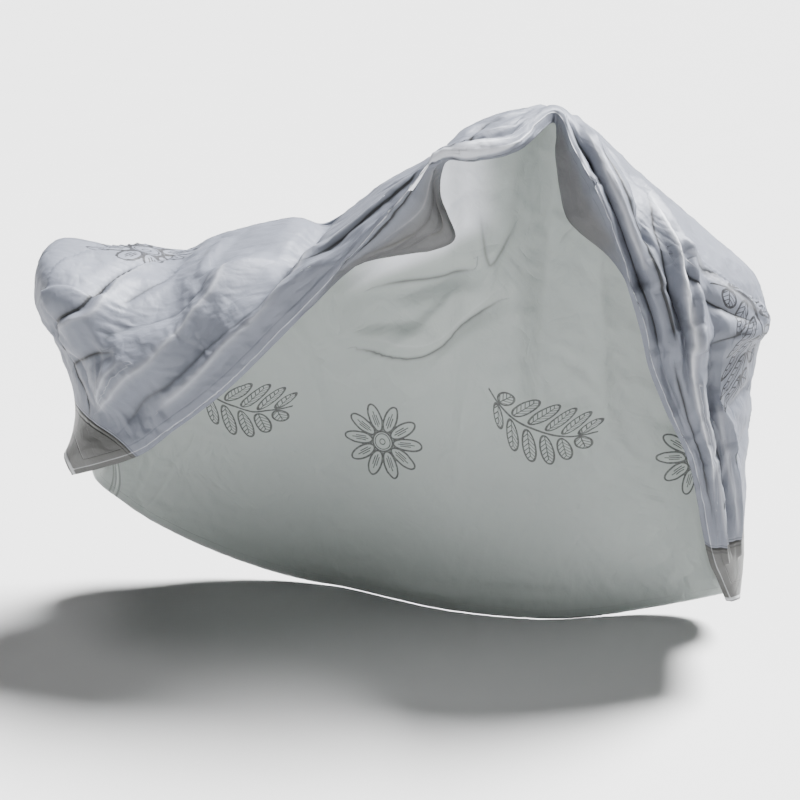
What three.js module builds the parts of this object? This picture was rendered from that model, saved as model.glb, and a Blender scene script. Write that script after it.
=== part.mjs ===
// Fitted cover for a light two-wheeler: thin film, draped, with its near side drawn up and gathered.
// Millimetres. +X is the front, -Y is the near side, which is open, and +Z is up.
// The sheet is one surface. "at" is a station along it, from the rear hem (0) up and over the top to
// the front hem (LAST). "across" is a share of its girth: 0 on the ridge seam, 1 at the near hem and
// -1 at the far hem.
import * as THREE from "three";

// Driving dimensions
const THICKNESS = 2;
const SEAM_GAP = 0.6;
const LAST = 24;
const HEM_START = 0.88; // share across at which the near edge begins to turn under

// Fineness of the meshes: columns along a side panel and a gusset, and rows across each part of the girth.
// Neighbours share rows and columns, so that their edges run side by side.
const COLUMNS = { panel: 60, gusset: 6 };
const ROWS = { far: 13, near: 31, hem: 4 };

// Steps of the finite differences that give slopes
const STEP_ALONG = 0.04;
const STEP_ACROSS = 0.004;
const FADE_SHARE = 0.35; // share of a fold's length over which it dies away

// The ridge seam: up the rear end, along the top, over the handlebar and down the nose.
const SEAM = course(["at", "x", "y", "z"], [
  [0, -650, 0, 420],
  [1, -650, 10, 540],
  [2, -700, 40, 660],
  [3, -742, 80, 732],
  [4, -722, 150, 812],
  [5, -597, 150, 803],
  [6, -456, 150, 794],
  [7, -386, 150, 830],
  [8, -231, 150, 871],
  [9, -150, 145, 866],
  [10, -32, 120, 955],
  [11, 81, 110, 1022],
  [12, 124, 130, 1062],
  [13, 211, 150, 1094],
  [14, 293, 180, 1096],
  [15, 371, 130, 1065],
  [16, 464, 90, 988],
  [17, 607, 60, 876],
  [18, 690, 30, 805],
  [19, 714, -10, 733],
  [20, 690, -20, 640],
  [21, 690, -20, 560],
  [22, 695, -20, 359],
  [23, 700, -30, 250],
  [24, 694, -40, 185],
]);

// The near edge: from the rear corner up to the handlebar, across it and down beside the front wheel.
const NEAR_EDGE = course(["at", "x", "y", "z"], [
  [0, -618, -180, 438],
  [1, -546, -220, 472],
  [2, -477, -230, 500],
  [4, -393, -240, 562],
  [6, -292, -250, 644],
  [8, -182, -250, 757],
  [9, -71, -250, 874],
  [10, 34, -240, 998],
  [11, 98, -225, 1072],
  [12, 160, -215, 1084],
  [13, 228, -170, 1092],
  [14, 296, -20, 1118],
  [15, 333, -110, 1068],
  [16, 382, -200, 995],
  [17, 436, -225, 867],
  [18, 468, -230, 780],
  [19, 493, -225, 690],
  [20, 535, -215, 595],
  [21, 578, -200, 501],
  [22, 621, -180, 325],
  [23, 645, -165, 262],
  [24, 670, -150, 205],
]);

// What turns under at the near edge: a plain hem, and two flaps where the cloth is gathered.
const TURN_UNDER = course(["at", "x", "y", "z"], [
  [0, 3, 4, -12],
  [8, 3, 4, -12],
  [8.5, 4, 4, -12],
  [9, 30, 60, -5],
  [9.5, 100, 110, -55],
  [10, 90, 110, -90],
  [10.5, 30, 90, -60],
  [11, 5, 40, -25],
  [12, 5, 25, -20],
  [14, 0, 10, -20],
  [15, -30, 60, -40],
  [16, -50, 80, -60],
  [16.7, -15, 40, -20],
  [17, -10, 6, -2],
  [17.4, -10, 6, -2],
  [24, -10, 6, -2],
]);

// The far hem: round the rear corner, down to the ground and up again at the front.
const FAR_HEM = course(["at", "x", "y", "z"], [
  [0, -690, 165, 310],
  [1, -690, 200, 250],
  [2, -640, 225, 190],
  [4, -540, 235, 120],
  [6, -400, 250, 50],
  [8, -230, 240, 8],
  [9, -130, 220, 4],
  [10, 0, 170, 4],
  [12, 140, 130, 4],
  [14, 300, 118, 4],
  [16, 420, 140, 4],
  [18, 560, 170, 20],
  [20, 660, 165, 50],
  [22, 705, 120, 90],
  [23, 712, 90, 115],
  [24, 700, 60, 145],
]);

// How far a section runs out level from the seam, and how far it runs straight up from its lower edge.
const SHOULDER = course(["at", "nearReach", "nearRise", "farReach", "farRise"], [
  [0, 60, 60, 60, 60],
  [2, 90, 100, 60, 120],
  [3, 130, 160, 60, 200],
  [4, 240, 210, 60, 260],
  [5, 260, 190, 50, 300],
  [6, 260, 170, 50, 300],
  [8, 240, 120, 50, 300],
  [9, 200, 60, 50, 300],
  [10, 150, 20, 40, 300],
  [11, 110, 6, 40, 300],
  [12, 110, 30, 40, 300],
  [13, 110, 40, 40, 300],
  [14, 70, 30, 40, 300],
  [15, 90, 50, 40, 300],
  [16, 130, 70, 50, 300],
  [17, 170, 90, 60, 250],
  [18, 170, 110, 80, 200],
  [19, 150, 110, 90, 160],
  [20, 110, 80, 90, 120],
  [22, 90, 40, 70, 80],
  [24, 70, 20, 50, 40],
]);

// Where the gussets meet the side panels: the station of each welded seam, by share across.
const REAR_WELD = course(["at", "station"], [
  [-1, 1.6],
  [0, 1],
  [0.58, 1.4],
  [0.87, 2],
  [1, 2.1],
]);
const FRONT_WELD = course(["at", "station"], [
  [-1, 21.9],
  [0, 22.2],
  [0.45, 22.1],
  [1, 21.9],
]);

// Main folds, one to a row. Each runs from one place to another, bowed sideways by "bow", is "width"
// wide to each side and "height" proud of the sheet, or as deep where that is negative. "crest" moves
// the crest to one side, "sharp" goes from a round crest (0) to a crisp one (1), and "keep" is the
// share of its height that is left at that end.
const FOLDS = table(
  ["at1", "across1", "at2", "across2", "bow", "width", "height", "crest", "sharp", "keep1", "keep2"],
  [
    // Swag over the rear: its proud border, then valleys and ridges that run up to the handlebar
    [4.1, 0.44, 6.1, -0.01, 0, 80, 20, -0.85, 0.4, 0.7, 0.4],
    [2.9, 0.37, 4.2, 0.45, 0, 60, 16, -0.75, 0.5, 0.7, 0.9],
    [1.4, 0.57, 3.0, 0.37, 8, 26, 11, -0.3, 0.8, 0.6, 0.6],
    [3.9, 0.5, 6.9, 0.16, 0, 55, 9, 0.2, 0.2, 0.2, 0],
    [3.7, 0.59, 7.25, 0.29, 0, 46, -20, 0.3, 0.3, 0.2, 0.1],
    [1.4, 0.59, 5.7, 0.585, 62, 36, 20, 0.3, 0.7, 0.3, 0.9],
    [5.2, 0.64, 7.25, 0.27, 0, 36, 22, 0.3, 0.7, 0.9, 0.6],
    [7.0, 0.46, 8.3, 0.4, 0, 60, 14, 0, 0.1, 0.2, 0.2],
    [1.5, 0.61, 7.3, 0.675, 50, 46, -30, 0.2, 0.25, 0.3, 1],
    [6.9, 0.685, 8.8, 0.32, 14, 40, -28, 0.1, 0.25, 1, 0.6],
    [8.6, 0.4, 9.0, 0.02, 0, 34, -20, 0, 0.3, 0.8, 0.5],
    [3.0, 0.8, 9.4, 0.685, 0, 40, 18, 0.3, 0.6, 0, 0.7],
    [2.4, 0.84, 8.6, 0.81, 0, 28, -7, 0, 0.3, 0, 0.3],
    [8.5, 0.63, 11.0, 0.8, 0, 28, -20, 0.2, 0.4, 0.3, 0.2],
    [8.5, 0.55, 11.0, 0.72, 0, 26, 15, -0.2, 0.6, 0.3, 0.2],
    [8.9, 0.4, 11.0, 0.6, 0, 24, -13, 0.2, 0.4, 0.4, 0.4],
    [2.0, 0.45, 3.9, 0.61, 0, 34, -24, 0.3, 0.4, 0.4, 0.8],
    // Gathered roof between the two grips
    [11.0, 0.82, 13.2, 0.85, 0, 24, 16, 0.3, 0.2, 0.6, 0.8],
    [11.3, 0.56, 13.6, 0.5, 0, 28, -13, 0.2, 0.4, 0.6, 0.8],
    [11.4, 0.36, 13.7, 0.28, 0, 26, 10, 0, 0.5, 0.6, 0.8],
    // Bunch that falls from the handlebar over the front
    [14.5, 0.56, 17.2, 0.745, 10, 26, 18, -0.3, 0.5, 0.5, 0.8],
    [17.0, 0.75, 20.9, 0.8, 0, 24, 14, -0.3, 0.5, 0.8, 0.3],
    [15.0, 0.28, 16.6, 0.66, -8, 24, -18, 0.2, 0.4, 0.4, 1],
    [16.4, 0.66, 20.6, 0.755, 0, 22, -16, 0.2, 0.4, 1, 0.4],
    [16.0, 0.33, 18.6, 0.66, 12, 24, 22, 0.3, 0.7, 0.5, 1],
    [18.3, 0.66, 21.8, 0.78, 0, 22, 16, 0.3, 0.6, 1, 0.4],
    [17.2, 0.5, 21.2, 0.66, 0, 22, -14, 0.2, 0.4, 0.4, 0.5],
    [16.8, 0.5, 18.6, 0.25, 0, 20, 12, 0, 0.8, 0.6, 0.9],
    [17.2, 0.34, 18.5, 0.02, 0, 50, -14, 0.2, 0.3, 0.2, 0.7],
    [18.3, 0.6, 18.75, 0.2, 0, 34, 12, 0.5, 0.6, 0.4, 0.8],
    [19.2, 0.58, 19.4, 0.02, 0, 60, -14, 0, 0.2, 0.5, 0.5],
    [19.8, 0.56, 22.5, 0.44, -6, 22, 12, 0.2, 0.7, 0.3, 0.6],
    // Far side: creases drawn towards the handlebar, and soft folds that fall from the ridge
    [9.5, -0.335, 12.4, -0.3, 0, 40, -13, 0.5, 0.9, 0, 0],
    [9.6, -0.39, 12.3, -0.4, 0, 40, 14, -0.2, 0.3, 0, 0],
    [9.4, -0.465, 10.5, -0.505, 0, 40, -9, 0.4, 0.9, 0, 0.8],
    [10.5, -0.505, 12.3, -0.42, 0, 40, -9, 0.4, 0.9, 0.8, 0],
    [9.0, -0.965, 12.5, -0.96, 0, 22, -7, 0, 0.4, 0, 0],
    [11.5, -0.935, 15.2, -0.935, 0, 22, 6, 0, 0.4, 0, 0],
    [13.5, -0.12, 11.4, -0.8, 0, 45, -8, 0, 0.3, 0.3, 0],
    [14.2, -0.12, 13.6, -0.85, 0, 45, 8, 0, 0.3, 0.3, 0],
    [14.8, -0.12, 16.4, -0.8, 0, 45, -9, 0, 0.3, 0.3, 0],
    [15.6, -0.12, 18.6, -0.75, 0, 45, 9, 0, 0.3, 0.3, 0],
    [5.0, -0.1, 7.2, -0.8, 0, 50, -9, 0, 0.3, 0.3, 0],
    [6.4, -0.12, 9.2, -0.78, 0, 50, 8, 0, 0.3, 0.3, 0],
    [3.8, -0.1, 3.6, -0.8, 0, 45, 12, 0, 0.4, 0.3, 0],
  ],
).map(measuredFold);

/** Rows as objects with named columns. */
function table(columns, rows) {
  return rows.map((row) => Object.fromEntries(columns.map((name, index) => [name, row[index]])));
}

/** A smooth course through the rows of a table whose first column is "at". */
function course(columns, rows) {
  const names = columns.slice(1);
  const at = rows.map((row) => row[0]);
  const value = rows.map((row) => row.slice(1));
  const slope = value.map((own, index) =>
    own.map((_, column) => {
      const rise = (low) => (value[low + 1][column] - value[low][column]) / (at[low + 1] - at[low]);
      if (index === 0) return rise(0);
      if (index === at.length - 1) return rise(index - 1);
      const share = (at[index] - at[index - 1]) / (at[index + 1] - at[index - 1]);
      return rise(index - 1) * (1 - share) + rise(index) * share;
    }),
  );
  return (place) => {
    const clamped = Math.min(Math.max(place, at[0]), at[at.length - 1]);
    let low = 0;
    while (low < at.length - 2 && at[low + 1] <= clamped) low += 1;
    const span = at[low + 1] - at[low];
    const s = (clamped - at[low]) / span;
    const s2 = s * s;
    const s3 = s2 * s;
    const result = {};
    names.forEach((name, column) => {
      result[name] =
        (2 * s3 - 3 * s2 + 1) * value[low][column] +
        (s3 - 2 * s2 + s) * span * slope[low][column] +
        (3 * s2 - 2 * s3) * value[low + 1][column] +
        (s3 - s2) * span * slope[low + 1][column];
    });
    return result;
  };
}

function point(place) {
  return new THREE.Vector3(place.x, place.y, place.z);
}

/** Square to an edge as seen from the side, pointing from the edge into the cloth. */
function intoCloth(edge, at) {
  const before = edge(Math.max(at - STEP_ALONG, 0));
  const after = edge(Math.min(at + STEP_ALONG, LAST));
  return new THREE.Vector3(before.z - after.z, 0, after.x - before.x).normalize();
}

function bezier(a, b, c, d, t) {
  const s = 1 - t;
  return new THREE.Vector3()
    .addScaledVector(a, s * s * s)
    .addScaledVector(b, 3 * s * s * t)
    .addScaledVector(c, 3 * s * t * t)
    .addScaledVector(d, t * t * t);
}

/** The sheet without its folds. */
function plainSheet(at, across) {
  const seam = point(SEAM(at));
  const shoulder = SHOULDER(at);
  const near = across >= 0;
  const edge = near ? NEAR_EDGE : FAR_HEM;
  const reach = near ? -shoulder.nearReach : shoulder.farReach;
  const rise = near ? shoulder.nearRise : shoulder.farRise;
  const end = point(edge(at));
  const share = near ? Math.min(across / HEM_START, 1) : -across;
  const place = bezier(
    seam,
    seam.clone().add(new THREE.Vector3(0, reach, 0)),
    end.clone().addScaledVector(intoCloth(edge, at), rise),
    end,
    share,
  );
  const turned = Math.max((across - HEM_START) / (1 - HEM_START), 0);
  return place.addScaledVector(point(TURN_UNDER(at)), turned);
}

/** Outward direction of a surface: both slopes are means of the unit slopes to either side, for creases. */
function outward(surface, at, across) {
  const here = surface(at, across);
  const slope = (stations, share) => {
    const ahead = surface(Math.min(at + stations, LAST), Math.min(across + share, 1));
    const behind = surface(Math.max(at - stations, 0), Math.max(across - share, -1));
    return ahead.sub(here).normalize().add(here.clone().sub(behind).normalize());
  };
  return slope(0, STEP_ACROSS).cross(slope(STEP_ALONG, 0)).normalize();
}

/** A fold with its ends in millimetres, by the sheet's own scale at the fold's middle. */
function measuredFold(fold) {
  const at = (fold.at1 + fold.at2) / 2;
  const across = (fold.across1 + fold.across2) / 2;
  const perStation =
    plainSheet(at + STEP_ALONG, across).distanceTo(plainSheet(at - STEP_ALONG, across)) / (2 * STEP_ALONG);
  const perShare =
    plainSheet(at, across + STEP_ACROSS).distanceTo(plainSheet(at, across - STEP_ACROSS)) /
    (2 * STEP_ACROSS);
  const start = new THREE.Vector2(fold.at1 * perStation, fold.across1 * perShare);
  const run = new THREE.Vector2(fold.at2 * perStation, fold.across2 * perShare).sub(start);
  return { ...fold, perStation, perShare, start, length: run.length(), way: run.normalize() };
}

function easedShare(value) {
  const s = Math.min(Math.max(value, 0), 1);
  return s * s * (3 - 2 * s);
}

/** How far one fold lifts the sheet at a place. */
function foldHeight(fold, at, across) {
  const offset = new THREE.Vector2(at * fold.perStation, across * fold.perShare).sub(fold.start);
  const along = offset.dot(fold.way);
  const share = Math.min(Math.max(along / fold.length, 0), 1);
  const past = Math.abs(along - share * fold.length) / fold.width;
  const aside = fold.way.cross(offset) - fold.bow * 4 * share * (1 - share);
  const q = aside / fold.width;
  if (past >= 1 || Math.abs(q) >= 1) return 0;
  const climb = q < fold.crest ? (q + 1) / (1 + fold.crest) : (1 - q) / (1 - fold.crest);
  const profile = (1 - fold.sharp) * easedShare(climb) + fold.sharp * climb * climb;
  const start = fold.keep1 + (1 - fold.keep1) * easedShare(share / FADE_SHARE);
  const finish = fold.keep2 + (1 - fold.keep2) * easedShare((1 - share) / FADE_SHARE);
  return fold.height * profile * start * finish * easedShare(1 - past);
}

/** The sheet with its folds. */
function foldedSheet(at, across) {
  const lift = FOLDS.reduce((sum, fold) => sum + foldHeight(fold, at, across), 0);
  const place = plainSheet(at, across);
  return lift === 0 ? place : place.addScaledVector(outward(plainSheet, at, across), lift);
}

/** Share across of a row of the mesh, counted from the ridge seam. */
function rowAcross(row) {
  if (row <= 0) return row / ROWS.far;
  if (row <= ROWS.near) return (HEM_START * row) / ROWS.near;
  return HEM_START + ((1 - HEM_START) * (row - ROWS.near)) / ROWS.hem;
}

/**
 * A closed solid between two skins of one grid. Each cell is split along the diagonal that lies nearer
 * the sheet, alike in both skins, and walls of neighbours that face each other are split alike too.
 */
function closedSheet(columns, rows, cornerAt) {
  const corners = [];
  for (let column = 0; column <= columns; column += 1) {
    for (let row = 0; row <= rows; row += 1) corners.push(cornerAt(column, row));
  }
  const positions = [0.5, -0.5].flatMap((side) =>
    corners.flatMap(({ place, out }) => [...place.clone().addScaledVector(out, side * THICKNESS)]),
  );
  const misses = (a, b, target) =>
    corners[a].place.clone().add(corners[b].place).multiplyScalar(0.5).distanceTo(target);
  const index = [];
  const skin = (columns + 1) * (rows + 1);
  const outer = (column, row) => column * (rows + 1) + row;
  const quad = (a, b, c, d) => index.push(a, b, c, a, c, d);
  for (let column = 0; column < columns; column += 1) {
    for (let row = 0; row < rows; row += 1) {
      const [a, b] = [outer(column, row), outer(column, row + 1)];
      const [c, d] = [outer(column + 1, row + 1), outer(column + 1, row)];
      const middle = cornerAt(column + 0.5, row + 0.5).place;
      const ring = misses(a, c, middle) <= misses(b, d, middle) ? [a, b, c, d] : [b, c, d, a];
      quad(...ring);
      const [e, f, g, h] = ring.map((corner) => corner + skin);
      index.push(e, g, f, e, h, g);
    }
  }
  const wall = (from, to) => {
    if (from < to) quad(from, from + skin, to + skin, to);
    else quad(from + skin, to + skin, to, from);
  };
  for (let row = 0; row < rows; row += 1) {
    wall(outer(0, row), outer(0, row + 1));
    wall(outer(columns, row + 1), outer(columns, row));
  }
  for (let column = 0; column < columns; column += 1) {
    wall(outer(column + 1, 0), outer(column, 0));
    wall(outer(column, rows), outer(column + 1, rows));
  }
  const geometry = new THREE.BufferGeometry();
  geometry.setAttribute("position", new THREE.Float32BufferAttribute(positions, 3));
  geometry.setIndex(index);
  return geometry;
}

/** One cut piece, from one row across to another. */
function piece(name, material, columns, firstRow, lastRow, placeAt) {
  const rows = lastRow - firstRow;
  const geometry = closedSheet(columns, rows, (column, row) => {
    const { at, across } = placeAt(column / columns, rowAcross(firstRow + row));
    return { place: foldedSheet(at, across), out: outward(foldedSheet, at, across) };
  });
  const mesh = new THREE.Mesh(geometry, material);
  mesh.name = name;
  return mesh;
}

/** Half the gap of a welded seam, as a share across at a station. */
function gapAcross(at) {
  const girth = plainSheet(at, STEP_ACROSS).distanceTo(plainSheet(at, 0)) / STEP_ACROSS;
  return SEAM_GAP / 2 / girth;
}

/** Half the gap of a welded seam, in stations at a place. */
function gapAlong(at, across) {
  const run = plainSheet(at + STEP_ALONG, across).distanceTo(plainSheet(at, across)) / STEP_ALONG;
  return SEAM_GAP / 2 / run;
}

/** Station of a side panel's point, between the two welded gusset seams. */
function panelStation(share, across) {
  const rear = REAR_WELD(across).station;
  const front = FRONT_WELD(across).station;
  const low = rear + gapAlong(rear, across);
  const high = front - gapAlong(front, across);
  return low + (high - low) * share;
}

function film(color, roughness) {
  return new THREE.MeshStandardMaterial({ color, roughness, metalness: 0.1, side: THREE.DoubleSide });
}

function nearSidePanel() {
  const colour = film("#c9ccd6", 0.45);
  return piece("near_side_panel", colour, COLUMNS.panel, 0, ROWS.near + ROWS.hem, (share, across) => {
    const at = panelStation(share, across);
    return { at, across: across + gapAcross(at) * (1 - across) };
  });
}

function farSidePanel() {
  const colour = film("#a9b1af", 0.5);
  return piece("far_side_panel", colour, COLUMNS.panel, -ROWS.far, 0, (share, across) => {
    const at = panelStation(share, across);
    return { at, across: across - gapAcross(at) * (1 + across) };
  });
}

function cornerGusset(name, stationAt) {
  const colour = film("#8b8c8a", 0.5);
  return piece(name, colour, COLUMNS.gusset, -ROWS.far, ROWS.near + ROWS.hem, (share, across) => ({
    at: stationAt(share, across),
    across,
  }));
}

function rearCornerGusset() {
  return cornerGusset("rear_corner_gusset", (share, across) => {
    const weld = REAR_WELD(across).station;
    return (weld - gapAlong(weld, across)) * share;
  });
}

function frontCornerGusset() {
  return cornerGusset("front_corner_gusset", (share, across) => {
    const weld = FRONT_WELD(across).station;
    const low = weld + gapAlong(weld, across);
    return low + (LAST - low) * share;
  });
}

/** Stands the whole cover over the origin: centred along and across, with its lowest hem at zero. */
function stoodOnOrigin(meshes) {
  const box = new THREE.Box3();
  meshes.forEach((mesh) => box.expandByObject(mesh));
  const middle = box.getCenter(new THREE.Vector3());
  const cover = new THREE.Group();
  meshes.forEach((mesh) => mesh.position.set(-middle.x, -middle.y, -box.min.z));
  return cover.add(...meshes);
}

const cover = stoodOnOrigin([
  nearSidePanel(),
  farSidePanel(),
  rearCornerGusset(),
  frontCornerGusset(),
]);

export default cover;
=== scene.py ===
"""Looks of a fitted film cover, draped with its near side drawn up.

The sheet is one surface. A station runs along it, from the rear hem (0) up and over the top to the
front hem (24). A share across runs over its girth: 0 on the ridge seam, 1 at the near hem and -1 at
the far hem. Tables are in millimetres, and everything that Blender gets is in metres.
"""

import functools
import itertools
import logging
import math
from dataclasses import dataclass, field, replace
from enum import Enum
from typing import Any, Callable

import bmesh
import bpy
import numpy as np
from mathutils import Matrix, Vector


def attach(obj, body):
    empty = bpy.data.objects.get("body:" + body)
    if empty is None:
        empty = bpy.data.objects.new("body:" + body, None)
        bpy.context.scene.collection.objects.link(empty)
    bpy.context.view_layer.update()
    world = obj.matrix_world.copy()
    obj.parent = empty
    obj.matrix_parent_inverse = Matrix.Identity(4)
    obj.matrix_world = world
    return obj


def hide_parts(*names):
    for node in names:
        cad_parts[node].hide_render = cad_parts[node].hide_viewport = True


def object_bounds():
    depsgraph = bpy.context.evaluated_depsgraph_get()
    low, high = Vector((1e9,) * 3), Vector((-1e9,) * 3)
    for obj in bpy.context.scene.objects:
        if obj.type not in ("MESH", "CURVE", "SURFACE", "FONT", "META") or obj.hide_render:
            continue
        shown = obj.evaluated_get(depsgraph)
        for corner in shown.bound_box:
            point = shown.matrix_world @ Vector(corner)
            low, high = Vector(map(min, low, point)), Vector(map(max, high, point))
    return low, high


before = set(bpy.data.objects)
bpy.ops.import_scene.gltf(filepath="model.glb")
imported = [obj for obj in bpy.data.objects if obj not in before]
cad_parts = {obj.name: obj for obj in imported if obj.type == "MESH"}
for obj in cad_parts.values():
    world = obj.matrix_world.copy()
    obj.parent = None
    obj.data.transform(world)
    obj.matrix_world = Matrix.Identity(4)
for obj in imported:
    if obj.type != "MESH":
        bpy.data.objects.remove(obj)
CAD_BOX = [[float(value) for value in corner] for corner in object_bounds()]

log = logging.getLogger("cover")
logging.basicConfig(level=logging.INFO, format="%(name)s: %(message)s")

MM = 0.001
Array = np.ndarray


# Tables of the drape

LAST_STATION = 24.0
HEM_START = 0.88  # share across at which the near edge turns under

RIDGE_SEAM = (  # at, x, y, z
    (0, -650, 0, 420), (1, -650, 10, 540), (2, -700, 40, 660), (3, -742, 80, 732),
    (4, -722, 150, 812), (5, -597, 150, 803), (6, -456, 150, 794), (7, -386, 150, 830),
    (8, -231, 150, 871),
    (9, -150, 145, 866), (10, -32, 120, 955), (11, 81, 110, 1022), (12, 124, 130, 1062),
    (13, 211, 150, 1094), (14, 293, 180, 1096), (15, 371, 130, 1065), (16, 464, 90, 988),
    (17, 607, 60, 876), (18, 690, 30, 805), (19, 714, -10, 733), (20, 690, -20, 640),
    (21, 690, -20, 560), (22, 695, -20, 359), (23, 700, -30, 250), (24, 694, -40, 185),
)

NEAR_EDGE = (  # at, x, y, z
    (0, -618, -180, 438), (1, -546, -220, 472), (2, -477, -230, 500), (4, -393, -240, 562),
    (6, -292, -250, 644), (8, -182, -250, 757), (9, -71, -250, 874), (10, 34, -240, 998),
    (11, 98, -225, 1072), (12, 160, -215, 1084), (13, 228, -170, 1092), (14, 296, -20, 1118),
    (15, 333, -110, 1068), (16, 382, -200, 995), (17, 436, -225, 867), (18, 468, -230, 780),
    (19, 493, -225, 690), (20, 535, -215, 595), (21, 578, -200, 501), (22, 621, -180, 325),
    (23, 645, -165, 262), (24, 670, -150, 205),
)

TURN_UNDER = (  # at, x, y, z from the near edge to the end of what turns under there
    (0, 3, 4, -12), (8, 3, 4, -12), (8.5, 4, 4, -12), (9, 30, 60, -5), (9.5, 100, 110, -55),
    (10, 90, 110, -90), (10.5, 30, 90, -60), (11, 5, 40, -25), (12, 5, 25, -20), (14, 0, 10, -20),
    (15, -30, 60, -40), (16, -50, 80, -60), (16.7, -15, 40, -20), (17, -10, 6, -2),
    (17.4, -10, 6, -2), (24, -10, 6, -2),
)

FAR_HEM = (  # at, x, y, z
    (0, -690, 165, 310), (1, -690, 200, 250), (2, -640, 225, 190), (4, -540, 235, 120),
    (6, -400, 250, 50), (8, -230, 240, 8), (9, -130, 220, 4), (10, 0, 170, 4), (12, 140, 130, 4),
    (14, 300, 118, 4), (16, 420, 140, 4), (18, 560, 170, 20), (20, 660, 165, 50),
    (22, 705, 120, 90), (23, 712, 90, 115), (24, 700, 60, 145),
)

SHOULDER = (  # at, reach and rise of the near side, reach and rise of the far side
    (0, 60, 60, 60, 60), (2, 90, 100, 60, 120), (3, 130, 160, 60, 200), (4, 240, 210, 60, 260),
    (5, 260, 190, 50, 300), (6, 260, 170, 50, 300), (8, 240, 120, 50, 300), (9, 200, 60, 50, 300),
    (10, 150, 20, 40, 300), (11, 110, 6, 40, 300), (12, 110, 30, 40, 300), (13, 110, 40, 40, 300),
    (14, 70, 30, 40, 300), (15, 90, 50, 40, 300), (16, 130, 70, 50, 300), (17, 170, 90, 60, 250),
    (18, 170, 110, 80, 200), (19, 150, 110, 90, 160), (20, 110, 80, 90, 120), (22, 90, 40, 70, 80),
    (24, 70, 20, 50, 40),
)

REAR_WELD = ((-1, 1.6), (0, 1.0), (0.58, 1.4), (0.87, 2.0), (1, 2.1))  # across, station
FRONT_WELD = ((-1, 21.9), (0, 22.2), (0.45, 22.1), (1, 21.9))  # across, station


@dataclass(frozen=True)
class Fold:
    """One fold, from one place on the sheet to another. Lengths are in millimetres.

    bow pushes its middle sideways, width is to each side, and a height below zero is a trough.
    crest moves the crest to one side (-1 to 1), sharp goes from round (0) to crisp (1), and keep is
    the share of its height that is left at that end.
    """

    at1: float
    across1: float
    at2: float
    across2: float
    bow: float
    width: float
    height: float
    crest: float
    sharp: float
    keep1: float
    keep2: float


SWAG_FOLDS = (
    Fold(4.1, 0.44, 6.1, -0.01, 0, 80, 20, -0.85, 0.4, 0.7, 0.4),
    Fold(2.9, 0.37, 4.2, 0.45, 0, 60, 16, -0.75, 0.5, 0.7, 0.9),
    Fold(1.4, 0.57, 3.0, 0.37, 8, 20, 5, -0.3, 0.8, 0.6, 0.6),
    Fold(1.5, 0.62, 3.1, 0.42, 8, 18, -4, 0, 0.7, 0.6, 0.6),
    Fold(3.9, 0.50, 6.9, 0.16, 0, 55, 9, 0.2, 0.2, 0.2, 0),
    Fold(3.7, 0.59, 7.25, 0.29, 0, 46, -8, 0.3, 0.3, 0.2, 0.1),
    Fold(5.1, 0.43, 5.75, 0.28, 0, 20, -6, 0, 0.3, 0, 0),
    Fold(7.1, 0.32, 7.3, 0.06, 0, 26, 10, 0.2, 0.7, 0.8, 0.1),
    Fold(7.0, 0.46, 8.3, 0.40, 0, 60, 14, 0, 0.1, 0.2, 0.2),
    Fold(8.6, 0.40, 9.0, 0.02, 0, 34, -20, 0, 0.3, 0.8, 0.5),
    Fold(3.0, 0.80, 9.4, 0.685, 0, 40, 18, 0.3, 0.6, 0, 0.7),
    Fold(2.4, 0.84, 8.6, 0.81, 0, 28, -7, 0, 0.3, 0, 0.3),
    Fold(8.5, 0.63, 11.0, 0.80, 0, 28, -12, 0.2, 0.4, 0.3, 0.0),
    Fold(8.5, 0.55, 11.0, 0.72, 0, 26, 9, -0.2, 0.6, 0.3, 0.0),
    Fold(9.0, 0.10, 11.0, 0.40, 0, 16, -8, 0, 0.6, 0.3, 0.6),
    Fold(8.9, 0.40, 11.0, 0.60, 0, 22, -13, 0.2, 0.4, 0.4, 0.4),
    Fold(2.0, 0.45, 3.9, 0.61, 0, 34, -9, 0.3, 0.4, 0.4, 0.8),
    Fold(1.7, 0.585, 4.15, 0.655, 8, 16, 5, 0, 0.9, 0.7, 0.6),
    Fold(1.1, 0.80, 2.0, 0.55, 0, 30, 7, 0, 0.5, 0.2, 0.2),
)

ROOF_FOLDS = (
    Fold(9.1, 0.935, 10.8, 0.93, 0, 20, 12, 0, 0.6, 0.5, 0.5),
    Fold(9.3, 0.97, 10.6, 0.965, 0, 16, -10, 0, 0.5, 0.4, 0.4),
    Fold(11.0, 0.82, 13.2, 0.85, 0, 24, 16, 0.3, 0.2, 0.6, 0.8),
    Fold(11.3, 0.75, 13.2, 0.77, 0, 14, -11, 0, 0.5, 0.4, 0.8),
    Fold(11.4, 0.68, 13.3, 0.70, 0, 18, 11, 0.2, 0.5, 0.3, 0.6),
    Fold(11.3, 0.56, 13.6, 0.50, 0, 28, -13, 0.2, 0.4, 0.6, 0.8),
    Fold(11.4, 0.36, 13.7, 0.28, 0, 26, 10, 0, 0.5, 0.6, 0.8),
    Fold(11.6, 0.18, 13.9, 0.12, 0, 22, -8, 0, 0.4, 0.6, 0.5),
    Fold(13.0, 0.86, 13.6, 0.42, 0, 18, 3, 0, 0.8, 0.3, 0.3),
    Fold(13.3, 0.88, 13.85, 0.50, 0, 18, -3, 0, 0.7, 0.2, 0.2),
)

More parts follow.
